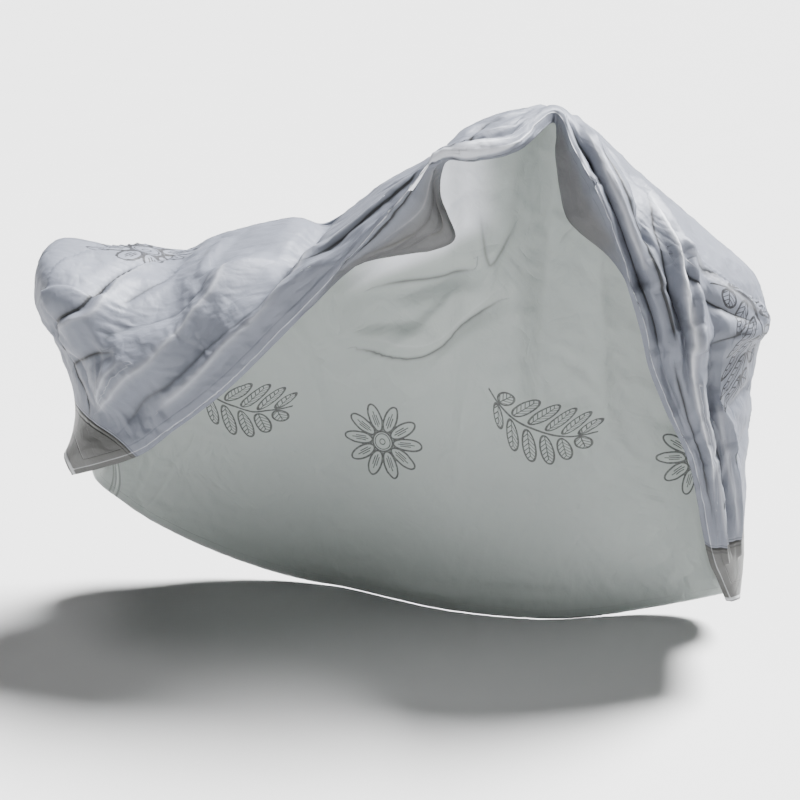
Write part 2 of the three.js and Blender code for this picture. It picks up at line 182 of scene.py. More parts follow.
BUNCH_FOLDS = (
    Fold(14.4, 0.76, 17.2, 0.825, 0, 12, -12, 0, 0.6, 0.5, 1),
    Fold(17.0, 0.825, 20.4, 0.85, 0, 12, -10, 0, 0.6, 1, 0.5),
    Fold(14.5, 0.56, 17.2, 0.745, 10, 26, 18, -0.3, 0.5, 0.5, 0.8),
    Fold(17.0, 0.75, 20.9, 0.80, 0, 24, 14, -0.3, 0.5, 0.8, 0.3),
    Fold(15.0, 0.28, 16.6, 0.66, -8, 24, -18, 0.2, 0.4, 0.4, 1),
    Fold(16.4, 0.66, 20.6, 0.755, 0, 20, -18, 0.2, 0.4, 1, 0.4),
    Fold(16.1, 0.42, 18.4, 0.71, 14, 12, 9, 0, 0.8, 0.3, 0.5),
    Fold(16.0, 0.33, 18.6, 0.66, 12, 22, 22, 0.3, 0.7, 0.5, 1),
    Fold(18.3, 0.66, 21.8, 0.78, 0, 20, 16, 0.3, 0.6, 1, 0.4),
    Fold(17.2, 0.50, 21.2, 0.66, 0, 20, -14, 0.2, 0.4, 0.4, 0.5),
    Fold(16.8, 0.50, 18.6, 0.25, 0, 13, 13, 0, 0.8, 0.6, 0.9),
    Fold(16.9, 0.44, 18.5, 0.17, 0, 11, 8, 0, 0.8, 0.4, 0.5),
    Fold(17.2, 0.34, 18.5, 0.02, 0, 50, -14, 0.2, 0.3, 0.2, 0.7),
    Fold(18.3, 0.60, 18.75, 0.20, 0, 34, 12, 0.5, 0.6, 0.4, 0.8),
    Fold(19.2, 0.58, 19.4, 0.02, 0, 60, -14, 0, 0.2, 0.5, 0.5),
    Fold(19.3, 0.66, 22.4, 0.70, 0, 14, 12, 0.2, 0.7, 0.3, 0.8),
    Fold(19.6, 0.61, 22.3, 0.57, 0, 13, -10, 0, 0.4, 0.3, 0.6),
    Fold(19.8, 0.56, 22.5, 0.44, -6, 16, 12, 0.2, 0.7, 0.3, 0.6),
    Fold(20.3, 0.50, 20.1, 0.20, 0, 26, -8, 0, 0.3, 0, 0),
    Fold(21.2, 0.45, 21.0, 0.10, 0, 26, -8, 0, 0.3, 0, 0),
)

FAR_SIDE_FOLDS = (
    Fold(9.3, -0.335, 12.4, -0.30, 0, 46, -13, 0.7, 0.9, 0, 0),
    Fold(9.6, -0.39, 12.3, -0.40, 0, 44, 14, -0.2, 0.3, 0, 0),
    Fold(12.3, -0.31, 12.6, -0.41, 0, 20, -9, 0, 0.7, 0, 0.5),
    Fold(12.6, -0.41, 13.15, -0.33, 0, 20, -8, 0, 0.7, 0.5, 0),
    Fold(9.2, -0.465, 10.6, -0.505, 0, 44, -9, 0.6, 0.9, 0, 0.8),
    Fold(10.4, -0.505, 12.4, -0.42, 0, 44, -9, 0.6, 0.9, 0.8, 0),
    Fold(10.4, -0.515, 13.1, -0.45, 0, 36, 9, 0, 0.5, 0.2, 0),
    Fold(9.0, -0.965, 12.5, -0.96, 0, 18, -7, 0, 0.4, 0, 0),
    Fold(11.5, -0.935, 15.2, -0.935, 0, 18, 6, 0, 0.4, 0, 0),
    Fold(13.5, -0.12, 11.4, -0.80, 0, 45, -8, 0, 0.3, 0.3, 0),
    Fold(14.2, -0.12, 13.6, -0.85, 0, 45, 8, 0, 0.3, 0.3, 0),
    Fold(14.8, -0.12, 16.4, -0.80, 0, 45, -9, 0, 0.3, 0.3, 0),
    Fold(15.6, -0.12, 18.6, -0.75, 0, 45, 9, 0, 0.3, 0.3, 0),
    Fold(5.0, -0.10, 7.2, -0.80, 0, 50, -9, 0, 0.3, 0.3, 0),
    Fold(6.4, -0.12, 9.2, -0.78, 0, 50, 8, 0, 0.3, 0.3, 0),
    Fold(3.8, -0.10, 3.6, -0.80, 0, 45, 12, 0, 0.4, 0.3, 0),
)

FOLDS = SWAG_FOLDS + ROOF_FOLDS + BUNCH_FOLDS + FAR_SIDE_FOLDS


@dataclass(frozen=True)
class Crease:
    """A crisp line in the film, along a course of stations and shares across.

    It falls off over its upper width, towards the ridge, and over its lower width, towards the hem.
    Widths and the height are in millimetres. A tone above zero paints shade along the line and one
    below zero paints a highlight along it.
    """

    course: tuple[tuple[float, float], ...]
    upper: float
    lower: float
    height: float
    tone: float


# In the crease tables below, the last two numbers are the height and the tone: a tone above zero is
# painted shade, one below zero a painted highlight.
SWAG_CREASES = (
    Crease(
        ((6.04, 0.01), (5.61, 0.14), (5.38, 0.20), (4.88, 0.35), (4.19, 0.456), (3.24, 0.404)),
        26, 14, -9, 1.0,
    ),
    Crease(
        ((5.85, 0.10), (5.52, 0.215), (5.02, 0.385), (4.30, 0.495), (3.4, 0.45)),
        14, 75, 12, -0.3,
    ),
    Crease(
        ((3.24, 0.404), (2.81, 0.418), (2.02, 0.424), (1.83, 0.52), (1.43, 0.581)),
        16, 12, -7, 0.9,
    ),
    Crease(((6.20, 0.24), (5.72, 0.33), (5.11, 0.43)), 26, 10, -7, 0.45),
    Crease(
        ((7.35, 0.36), (6.97, 0.45), (6.06, 0.486), (5.08, 0.519), (3.95, 0.591)),
        45, 40, -13, 0.3,
    ),
    Crease(
        ((8.60, 0.34), (8.30, 0.60), (8.00, 0.70), (7.40, 0.735), (6.24, 0.742), (4.58, 0.784),
         (2.49, 0.765)),
        36, 28, -18, 0.4,
    ),
    Crease(
        ((7.62, 0.364), (7.43, 0.51), (6.88, 0.574), (5.99, 0.624), (4.55, 0.704), (3.20, 0.696),
         (1.85, 0.618)),
        60, 34, 17, -0.4,
    ),
    Crease(
        ((9.02, 0.45), (8.60, 0.62), (8.10, 0.745), (6.88, 0.775), (5.19, 0.810), (4.03, 0.825)),
        24, 36, 12, -0.35,
    ),
    Crease(
        ((10.53, 0.685), (10.18, 0.665), (9.81, 0.644), (9.45, 0.622), (9.08, 0.600),
         (8.72, 0.590)),
        12, 16, -7, 1.0,
    ),
    Crease(
        ((10.50, 0.63), (10.15, 0.615), (9.81, 0.595), (9.45, 0.575), (9.05, 0.550)),
        22, 14, 7, -0.4,
    ),
    Crease(((10.6, 0.54), (9.90, 0.51), (9.10, 0.43), (8.60, 0.31)), 18, 12, -6, 0.6),
    Crease(((1.99, 0.401), (3.00, 0.52), (4.10, 0.630)), 12, 14, -4, 0.7),
    Crease(((4.21, 0.668), (3.32, 0.656), (2.00, 0.612)), 12, 14, 5, -0.5),
    Crease(((2.90, 0.36), (2.30, 0.29), (1.40, 0.33)), 22, 14, -6, 0.2),
    Crease(
        ((11.0, 0.890), (10.4, 0.888), (9.7, 0.888), (9.1, 0.894), (8.8, 0.905)),
        5, 12, -4, 1.0,
    ),
    Crease(((10.95, 0.905), (10.5, 0.918), (10.0, 0.915), (9.6, 0.908)), 8, 10, 5, -0.5),
    Crease(
        ((10.9, 0.918), (10.5, 0.938), (10.0, 0.938), (9.5, 0.93), (9.2, 0.925)),
        8, 12, -6, 1.0,
    ),
    Crease(((10.6, 0.955), (10.1, 0.962), (9.6, 0.958)), 8, 10, 5, -0.4),
    Crease(((10.5, 0.972), (10.0, 0.976), (9.5, 0.965)), 8, 10, -5, 0.9),
)

ROOF_CREASES = (
    Crease(
        ((11.20, 0.855), (11.43, 0.835), (12.0, 0.702), (12.51, 0.60), (12.93, 0.60)),
        9, 14, -6, 1.0,
    ),
    Crease(((11.24, 0.866), (12.1, 0.857), (12.77, 0.829)), 12, 10, 4, -0.6),
    Crease(((11.21, 0.884), (11.84, 0.905), (12.8, 0.925)), 6, 14, -3, 1.0),
    Crease(((11.60, 0.70), (12.0, 0.50), (12.4, 0.35), (12.9, 0.33)), 16, 10, -5, 0.6),
    Crease(((11.50, 0.30), (12.60, 0.26), (13.5, 0.30)), 14, 9, -4, 0.4),
)

BUNCH_CREASES = (
    Crease(((14.52, 0.741), (15.15, 0.753), (15.67, 0.82)), 6, 9, -8, 1.0),
    Crease(((15.72, 0.79), (16.50, 0.82), (17.20, 0.83), (18.50, 0.84)), 6, 8, -6, 0.8),
    Crease(((14.81, 0.64), (15.63, 0.745), (16.34, 0.775), (16.96, 0.785)), 16, 6, 7, -0.5),
    Crease(
        ((15.22, 0.61), (15.98, 0.686), (16.39, 0.71), (17.04, 0.735), (17.85, 0.755),
         (18.36, 0.765)),
        10, 7, -9, 1.0,
    ),
    Crease(
        ((16.19, 0.442), (16.57, 0.574), (16.92, 0.637), (17.55, 0.695), (18.16, 0.715)),
        8, 6, -6, 0.8,
    ),
    Crease(
        ((16.17, 0.408), (16.49, 0.496), (16.82, 0.548), (17.51, 0.64), (18.46, 0.69),
         (19.33, 0.72), (20.3, 0.745), (21.3, 0.77)),
        14, 7, 8, -1.0,
    ),
    Crease(((16.89, 0.52), (17.28, 0.456), (17.92, 0.376), (18.40, 0.29)), 18, 34, 8, -0.4),
    Crease(((17.07, 0.51), (17.39, 0.42), (17.71, 0.34), (18.32, 0.08)), 22, 9, -6, 0.7),
    Crease(((16.95, 0.56), (17.35, 0.57), (17.95, 0.50), (18.5, 0.34)), 7, 10, -6, 0.9),
    Crease(((18.80, 0.60), (18.68, 0.53), (18.65, 0.45), (18.66, 0.36)), 10, 14, -8, 0.8),
    Crease(
        ((19.48, 0.685), (20.37, 0.70), (20.98, 0.72), (21.42, 0.715), (21.88, 0.71)),
        12, 7, 6, -0.5,
    ),
    Crease(((19.60, 0.63), (20.50, 0.645), (21.80, 0.62)), 14, 8, -8, 0.8),
    Crease(((20.07, 0.577), (21.00, 0.576), (22.00, 0.488)), 16, 8, 6, -0.4),
    Crease(((18.90, 0.79), (20.00, 0.80), (21.60, 0.81)), 8, 7, -6, 0.7),
)

FAR_SIDE_CREASES = (
    Crease(((9.77, -0.337), (10.80, -0.32), (11.82, -0.308), (12.29, -0.305)), 26, 10, -4, -0.45),
    Crease(((9.75, -0.365), (10.86, -0.393), (12.14, -0.406)), 18, 26, 4, 0.45),
    Crease(((12.34, -0.302), (12.56, -0.405), (13.09, -0.352)), 16, 14, 4, 0.35),
    Crease(((9.63, -0.466), (10.53, -0.501), (11.81, -0.485), (12.80, -0.445)), 34, 9, -5, -0.40),
    Crease(((9.35, -0.478), (10.50, -0.522), (12.80, -0.465)), 9, 24, 4, 0.5),
)

CREASES = SWAG_CREASES + ROOF_CREASES + BUNCH_CREASES + FAR_SIDE_CREASES

TINY = 1e-9  # least length that a vector is divided by


def eased(share: Array) -> Array:
    """Smooth step of a share that is held between 0 and 1."""
    held = np.clip(share, 0.0, 1.0)
    return held * held * (3.0 - 2.0 * held)


def between(at: Array, low: float, rise: float, high: float, fall: float) -> Array:
    """Share that rises over a length after low, and falls again over one before high."""
    return eased((at - low) / rise) * eased((high - at) / fall)


def unit(vectors: Array) -> Array:
    """The vectors at length one."""
    return vectors / np.maximum(np.linalg.norm(vectors, axis=-1, keepdims=True), TINY)


def course(rows: tuple, places: Array) -> Array:
    """A smooth course through the rows of a table.

    Args:
        rows: Rows of a place and its values.
        places: Places to read, in any shape.

    Returns:
        The values at the places, with one axis more than places.
    """
    table = np.array(rows, dtype=float)
    at, value = table[:, 0], table[:, 1:]
    rise = np.diff(value, axis=0) / np.diff(at)[:, None]
    share = (np.diff(at)[:-1] / (at[2:] - at[:-2]))[:, None]
    slope = np.vstack([rise[:1], rise[:-1] * (1 - share) + rise[1:] * share, rise[-1:]])
    held = np.clip(places, at[0], at[-1])
    low = np.clip(np.searchsorted(at, held, side="right") - 1, 0, len(at) - 2)
    span = at[low + 1] - at[low]
    s = ((held - at[low]) / span)[..., None]
    span = span[..., None]
    return (
        (2 * s**3 - 3 * s**2 + 1) * value[low]
        + (s**3 - 2 * s**2 + s) * span * slope[low]
        + (3 * s**2 - 2 * s**3) * value[low + 1]
        + (s**3 - s**2) * span * slope[low + 1]
    )


@dataclass(frozen=True)
class Crumple:
    """Seeded gradient noise, for the small creases of handled film.

    Attributes:
        seed: Seed of the noise.
        cells: Cells after which it repeats.
        gain: Brings its heights to between about -1 and 1.
        steepness: How steeply facets fall from the lines where they meet.
        wander_rate: How often those lines bend, for each facet.
        wander_shifts: Where the noise is read for each axis of that bending.
    """

    seed: int = 7
    cells: int = 256
    gain: float = 1.6
    steepness: float = 2.6
    wander_rate: float = 0.7
    wander_shifts: tuple[float, ...] = (11.3, 37.1, 71.9)

    def noise(self, places: Array) -> Array:
        """Gradient noise.

        Args:
            places: Places in cell units.

        Returns:
            Heights between about -1 and 1.
        """
        rng = np.random.default_rng(self.seed)
        order = rng.permutation(self.cells)
        slopes = unit(rng.normal(size=(self.cells, 3)))
        cell = np.floor(places).astype(int)
        inside = places - cell
        ease = eased(inside)
        total = np.zeros(places.shape[:-1])
        for corner in itertools.product((0, 1), repeat=3):
            index = np.zeros(places.shape[:-1], dtype=int)
            for axis in range(3):
                index = order[(index + cell[..., axis] + corner[axis]) % self.cells]
            weight = np.prod(np.where(corner, ease, 1.0 - ease), axis=-1)
            off = inside - np.array(corner)
            total += weight * np.einsum("...i,...i->...", slopes[index], off)
        return total * self.gain

    def creases(self, places: Array, size: float, warp: float) -> Array:
        """Facets that meet in crisp lines, with a mean near zero.

        Args:
            places: Places in millimetres.
            size: Size of a facet in millimetres.
            warp: How far the lines wander, as a share of the size.

        Returns:
            Heights between about -1 and 1.
        """
        cells = places / size
        wander = np.stack(
            [self.noise(cells * self.wander_rate + shift) for shift in self.wander_shifts], axis=-1
        )
        return 1.0 - self.steepness * np.abs(self.noise(cells + wander * warp))


@dataclass(frozen=True)
class Slack:
    """Lets thin film buckle about its draped shape, by letting it grow while it is softly held.

    Attributes:
        growth: Share by which the film is longer than its drape.
        frames: Steps of the settling.
        hold: How firmly the inside of a piece is held to its drape, from 0 to 1.
        bending: Bending stiffness of the film.
        stiffness: Stiffness of the hold.
        band: Width, in cells, over which the hold rises to full at a piece's edge.
        quality: Steps of the cloth simulation in each frame.
        mass: Mass of each of the film's points.
        tension: Stiffness of the film when it is pulled or pushed along itself.
        shear: Stiffness of the film in shear.
    """

    growth: float
    frames: int
    hold: float
    bending: float
    stiffness: float = 0.6
    band: int = 5
    quality: int = 6
    mass: float = 0.05
    tension: float = 20.0
    shear: float = 10.0

    def held(self, shape: tuple[int, int]) -> Array:
        """How firmly each point of a grid is held: fully at its edge, softly inside.

        Args:
            shape: Points of the grid along and across.

        Returns:
            The hold of each point, from 0 to 1.
        """
        along, across = (
            np.minimum(np.arange(count), np.arange(count)[::-1]) for count in shape
        )
        inside = eased(np.minimum(along[:, None], across[None, :]) / self.band)
        return 1.0 - (1.0 - self.hold) * inside

    def add_cloth(self, piece: bpy.types.Object, group: str) -> bpy.types.Modifier:
        """Makes a piece of cloth.

        Args:
            piece: The piece.
            group: Name of the vertex group that holds it.

        Returns:
            The cloth modifier.
        """
        cloth = piece.modifiers.new("slack", "CLOTH")
        settings = cloth.settings
        settings.quality = self.quality
        settings.mass = self.mass
        settings.tension_stiffness = settings.compression_stiffness = self.tension
        settings.shear_stiffness = self.shear
        settings.bending_stiffness = self.bending
        settings.shrink_min = settings.shrink_max = -self.growth
        settings.vertex_group_mass = group
        settings.pin_stiffness = self.stiffness
        settings.effector_weights.gravity = 0.0
        cloth.collision_settings.use_collision = False
        cloth.point_cache.frame_start = 1
        cloth.point_cache.frame_end = self.frames
        return cloth

    def settle(self, piece: bpy.types.Object, held: Array) -> None:
        """Settles a piece in place.

        Args:
            piece: The piece, before it has other modifiers.
            held: Hold of each of its vertices.
        """
        scene = bpy.context.scene
        group = piece.vertex_groups.new(name="held")
        levels = np.round(held, 2)
        for level in np.unique(levels):
            group.add(np.flatnonzero(levels == level).tolist(), float(level), "REPLACE")
        cloth = self.add_cloth(piece, group.name)
        for step in range(1, self.frames + 1):
            scene.frame_set(step)
        settled = piece.evaluated_get(bpy.context.evaluated_depsgraph_get())
        places = np.empty(len(piece.data.vertices) * 3, dtype=np.float32)
        settled.data.vertices.foreach_get("co", places)
        before = np.empty_like(places)
        piece.data.vertices.foreach_get("co", before)
        moved = np.linalg.norm((places - before).reshape(-1, 3), axis=1) / MM
        log.info("%s settled: mean %.1f mm, most %.1f mm", piece.name, moved.mean(), moved.max())
        piece.modifiers.remove(cloth)
        piece.vertex_groups.remove(group)
        piece.data.vertices.foreach_set("co", places)
        piece.data.update()
        scene.frame_set(1)


@dataclass(frozen=True)
class Drape:
    """The draped sheet as a surface, in millimetres before it is set in the frame.

    Attributes:
        edge_step: Stations between which an edge's direction is taken.
        metric_step: Stations, and shares across, between which a scale is taken.
        fade: Share of a fold over which it rises to full from its ends.
        crispness: Least sharpness of a fold in film this thin.
        fold_power: Power of the flank of a sharp fold.
        crease_round: Rounding of a crisp line.
        crease_steps: Steps of a crisp line between two of its turns.
        crease_power: Power of the flank of a crisp line.
        end_keep: Share of a crisp line's height that is left at its ends.
        end_fade: Length over which a crisp line would rise to full from nothing.
        tone_width: Widest that a crisp line's painted shade or painted highlight reaches.
        tone_end: Widths from a crisp line at which its painted shade or painted highlight has gone.
        tone_fall: How fast the tone falls there, for each width.
        far_off: Widths that say that no crisp line is near.
        rear_keep: Share of the folds' height that is left at the rear hem.
        rear_still: Station up to which no more is left.
        rear_rise: Stations over which the folds then rise to full.
    """

    edge_step: float = 0.05
    metric_step: float = 0.02
    fade: float = 0.35
    crispness: float = 0.6
    fold_power: float = 1.2
    crease_round: float = 5.0
    crease_steps: int = 5
    crease_power: float = 1.5
    end_keep: float = 0.3
    end_fade: float = 60.0
    tone_width: float = 14.0
    tone_end: float = 1.6
    tone_fall: float = 2.0
    far_off: float = 9.0
    rear_keep: float = 0.25
    rear_still: float = 1.5
    rear_rise: float = 2.0

    def into_cloth(self, edge: tuple, at: Array) -> Array:
        """Square to an edge as seen from the side, pointing from the edge into the cloth.

        Args:
            edge: Table of the edge.
            at: Stations.

        Returns:
            Directions of length one.
        """
        before = course(edge, np.maximum(at - self.edge_step, 0.0))
        after = course(edge, np.minimum(at + self.edge_step, LAST_STATION))
        run = after - before
        return unit(np.stack([-run[..., 2], 0.0 * at, run[..., 0]], axis=-1))

    def side(
        self, seam: Array, edge: tuple, at: Array, reach: Array, rise: Array, share: Array
    ) -> Array:
        """One side of the sheet: level out from the seam, then down to its edge.

        Args:
            seam: Points of the ridge seam.
            edge: Table of the side's edge.
            at: Stations.
            reach: How far the section runs out level, with its sign.
            rise: How far it runs straight up from its edge.
            share: Share of the way from the seam to the edge.

        Returns:
            Points of the side.
        """
        end = course(edge, at)
        out = seam + np.array([0.0, 1.0, 0.0]) * reach[..., None]
        above = end + self.into_cloth(edge, at) * rise[..., None]
        t = share[..., None]
        s = 1.0 - t
        return s**3 * seam + 3 * s**2 * t * out + 3 * s * t**2 * above + t**3 * end

    def plain(self, at: Array, across: Array) -> Array:
        """The sheet without its folds.

        Args:
            at: Stations.
            across: Shares across.

        Returns:
            Its points.
        """
        seam = course(RIDGE_SEAM, at)
        near_reach, near_rise, far_reach, far_rise = np.moveaxis(course(SHOULDER, at), -1, 0)
        down = np.clip(across / HEM_START, 0.0, 1.0)
        near = self.side(seam, NEAR_EDGE, at, -near_reach, near_rise, down)
        turned = np.clip((across - HEM_START) / (1.0 - HEM_START), 0.0, 1.0)
        near = near + course(TURN_UNDER, at) * turned[..., None]
        far = self.side(seam, FAR_HEM, at, far_reach, far_rise, np.clip(-across, 0.0, 1.0))
        return np.where((across >= 0)[..., None], near, far)

    def scale(self, at: float, across: float) -> tuple[float, float]:
        """Scale of the sheet at one place.

        Args:
            at: Station.
            across: Share across.

        Returns:
            Millimetres for each station and for the whole share across.
        """
        step = self.metric_step
        ends = self.plain(
            np.array([at - step, at + step, at, at]),
            np.array([across, across, across - step, across + step]),
        )
        along, over = np.linalg.norm(ends[1::2] - ends[::2], axis=-1) / (2 * step)
        return float(along), float(over)

    def lift(self, fold: Fold, at: Array, across: Array) -> Array:
        """How far one fold lifts the sheet at each place.

        Args:
            fold: The fold.
            at: Stations.
            across: Shares across.

        Returns:
            Heights, below zero in a trough.
        """
        scale = np.array(
            self.scale((fold.at1 + fold.at2) / 2, (fold.across1 + fold.across2) / 2)
        )
        start = np.array([fold.at1, fold.across1]) * scale
        run = np.array([fold.at2, fold.across2]) * scale - start
        length = float(np.hypot(*run))
        way = run / length
        x, y = at * scale[0] - start[0], across * scale[1] - start[1]
        along = x * way[0] + y * way[1]
        share = np.clip(along / length, 0.0, 1.0)
        past = np.abs(along - share * length) / fold.width
        aside = way[0] * y - way[1] * x - fold.bow * 4 * share * (1 - share)
        q = np.clip(aside / fold.width, -1.0, 1.0)
        climb = np.where(q < fold.crest, (q + 1) / (1 + fold.crest), (1 - q) / (1 - fold.crest))
        sharp = self.crispness + (1 - self.crispness) * fold.sharp
        profile = (1 - sharp) * eased(climb) + sharp * climb**self.fold_power
        first = fold.keep1 + (1 - fold.keep1) * eased(share / self.fade)
        last = fold.keep2 + (1 - fold.keep2) * eased((1 - share) / self.fade)
        return fold.height * profile * first * last * eased(1 - past)

    def from_crease(self, crease: Crease, at: Array, across: Array) -> tuple[Array, Array, Array]:
        """Where each place is by a crease.

        Args:
            crease: The crease.
            at: Stations.
            across: Shares across.

        Returns:
            The distance from its line, that distance with a sign that is positive towards the hem,
            and a share that fades towards its ends.
        """
        turns = [(float(number), *turn) for number, turn in enumerate(crease.course)]
        last = len(turns) - 1
        smooth = course(tuple(turns), np.linspace(0.0, last, last * self.crease_steps + 1))
        scale = np.array(self.scale(*smooth.mean(axis=0)))
        line = smooth * scale
        x, y = at * scale[0], across * scale[1]
        nearest, aside = np.full(at.shape, np.inf), np.zeros(at.shape)
        for start, end in zip(line[:-1], line[1:]):
            run = end - start
            along = ((x - start[0]) * run[0] + (y - start[1]) * run[1]) / (run @ run)
            share = np.clip(along, 0.0, 1.0)
            off_x, off_y = x - start[0] - share * run[0], y - start[1] - share * run[1]
            away = np.hypot(off_x, off_y)
            forward = 1.0 if run[0] >= 0 else -1.0
            side = np.sign((run[0] * off_y - run[1] * off_x) * forward)
            closer = away < nearest
            nearest = np.where(closer, away, nearest)
            aside = np.where(closer, away * side, aside)
        hem_side = 1.0 if smooth[:, 1].mean() >= 0 else -1.0
        ends = (np.hypot(x - end[0], y - end[1]) for end in (line[0], line[-1]))
        kept = eased(self.end_keep + np.minimum(*ends) / self.end_fade)
        return nearest, aside * hem_side, kept

    def creased_height(self, at: Array, across: Array) -> Array:
        """How far the crisp lines lift the sheet.

        Args:
            at: Stations.
            across: Shares across.

        Returns:
            Heights, below zero in a groove.
        """
        total = np.zeros(at.shape)
        for crease in CREASES:
            nearest, aside, kept = self.from_crease(crease, at, across)
            width = np.where(aside > 0, crease.lower, crease.upper) + self.crease_round
            soft = np.hypot(nearest, self.crease_round) - self.crease_round
            flank = np.clip(1.0 - soft / width, 0.0, 1.0) ** self.crease_power
            total += crease.height * flank * kept
        return total

    def painted_shading_lines(self, at: Array, across: Array, dark: bool) -> Array:
        """The nearest line of painted shade or painted highlight at each place, so that a finish
        can draw it crisply.

        Args:
            at: Stations.
            across: Shares across.
            dark: Whether to look for the lines of painted shade, and not for those of painted
                highlight.

        Returns:
            The signed distance from it in its own widths, and its strength there.
        """
        best, strength = np.full(at.shape, self.far_off), np.zeros(at.shape)
        for crease in CREASES:
            if (crease.tone > 0) != dark:
                continue
            nearest, aside, kept = self.from_crease(crease, at, across)
            lower, upper = (min(width, self.tone_width) for width in (crease.lower, crease.upper))
            width = np.where(aside > 0, lower, upper)
            place = np.clip(aside / width, -self.far_off, self.far_off)
            closer = np.abs(place) < np.abs(best)
            best = np.where(closer, place, best)
            shown = np.clip((self.tone_end - np.abs(place)) * self.tone_fall, 0.0, 1.0)
            strength = np.where(closer, abs(crease.tone) * kept * shown, strength)
        return np.stack([best, strength], axis=-1)

    def outward(self, grid: Array) -> Array:
        """Outward directions of a grid of points, also where it has a crease.

        Args:
            grid: Points, with an axis along and an axis across.

        Returns:
            Directions of length one.
        """

        def slope(axis: int) -> Array:
            """Slope of the grid at each point.

            Args:
                axis: Axis of the grid to follow.

            Returns:
                Sum of the directions before and after each point.
            """
            ends = [(0, 0)] * 3
            ends[axis] = (1, 1)
            held = np.pad(unit(np.diff(grid, axis=axis)), ends, mode="edge")
            count = grid.shape[axis]
            before, after = (np.take(held, range(i, count + i), axis=axis) for i in (0, 1))
            return before + after

        return unit(np.cross(slope(1), slope(0)))

    def folded(self, at: Array, across: Array) -> Array:
        """The sheet with its folds.

        Args:
            at: Stations, with an axis along and an axis across.
            across: Shares across, in the same grid.

        Returns:
            Its points.
        """
        places = self.plain(at, across)
        height = sum(self.lift(fold, at, across) for fold in FOLDS)
        height = height + self.creased_height(at, across)
        risen = eased((at - self.rear_still) / self.rear_rise)
        height = height * (self.rear_keep + (1 - self.rear_keep) * risen)
        return places + self.outward(places) * height[..., None]


# Shader maths


@dataclass(frozen=True)
class Value:
    """A socket in a material that takes part in Python expressions."""

    shader: "Shader"
    socket: bpy.types.NodeSocket

    def maths(self, operation: str, *others: "Value | float") -> "Value":
        """One Math node on this value and the others."""
        return self.shader.maths(operation, self, *others)

    def __add__(self, other: "Value | float") -> "Value":
        """Sum."""
        return self.maths("ADD", other)

    __radd__ = __add__

    def __sub__(self, other: "Value | float") -> "Value":
        """Difference."""
        return self.maths("SUBTRACT", other)

    def __rsub__(self, other: float) -> "Value":
        """Difference from a number."""
        return self.shader.maths("SUBTRACT", other, self)

    def __mul__(self, other: "Value | float") -> "Value":
        """Product."""
        return self.maths("MULTIPLY", other)

    __rmul__ = __mul__

    def __truediv__(self, other: "Value | float") -> "Value":
        """Quotient."""
        return self.maths("DIVIDE", other)

    def __abs__(self) -> "Value":
        """Size without sign."""
        return self.maths("ABSOLUTE")

    def least(self, other: "Value | float") -> "Value":
        """The smaller of two."""
        return self.maths("MINIMUM", other)

    def most(self, other: "Value | float") -> "Value":
        """The larger of two."""
        return self.maths("MAXIMUM", other)

    def held(self) -> "Value":
        """The value held between 0 and 1."""
        return self.least(1.0).most(0.0)


@dataclass(frozen=True)
class Noise:
    """Settings of a noise: its scale for each metre, its detail and its distortion."""

    scale: float
    detail: float = 2.0
    distortion: float = 0.0


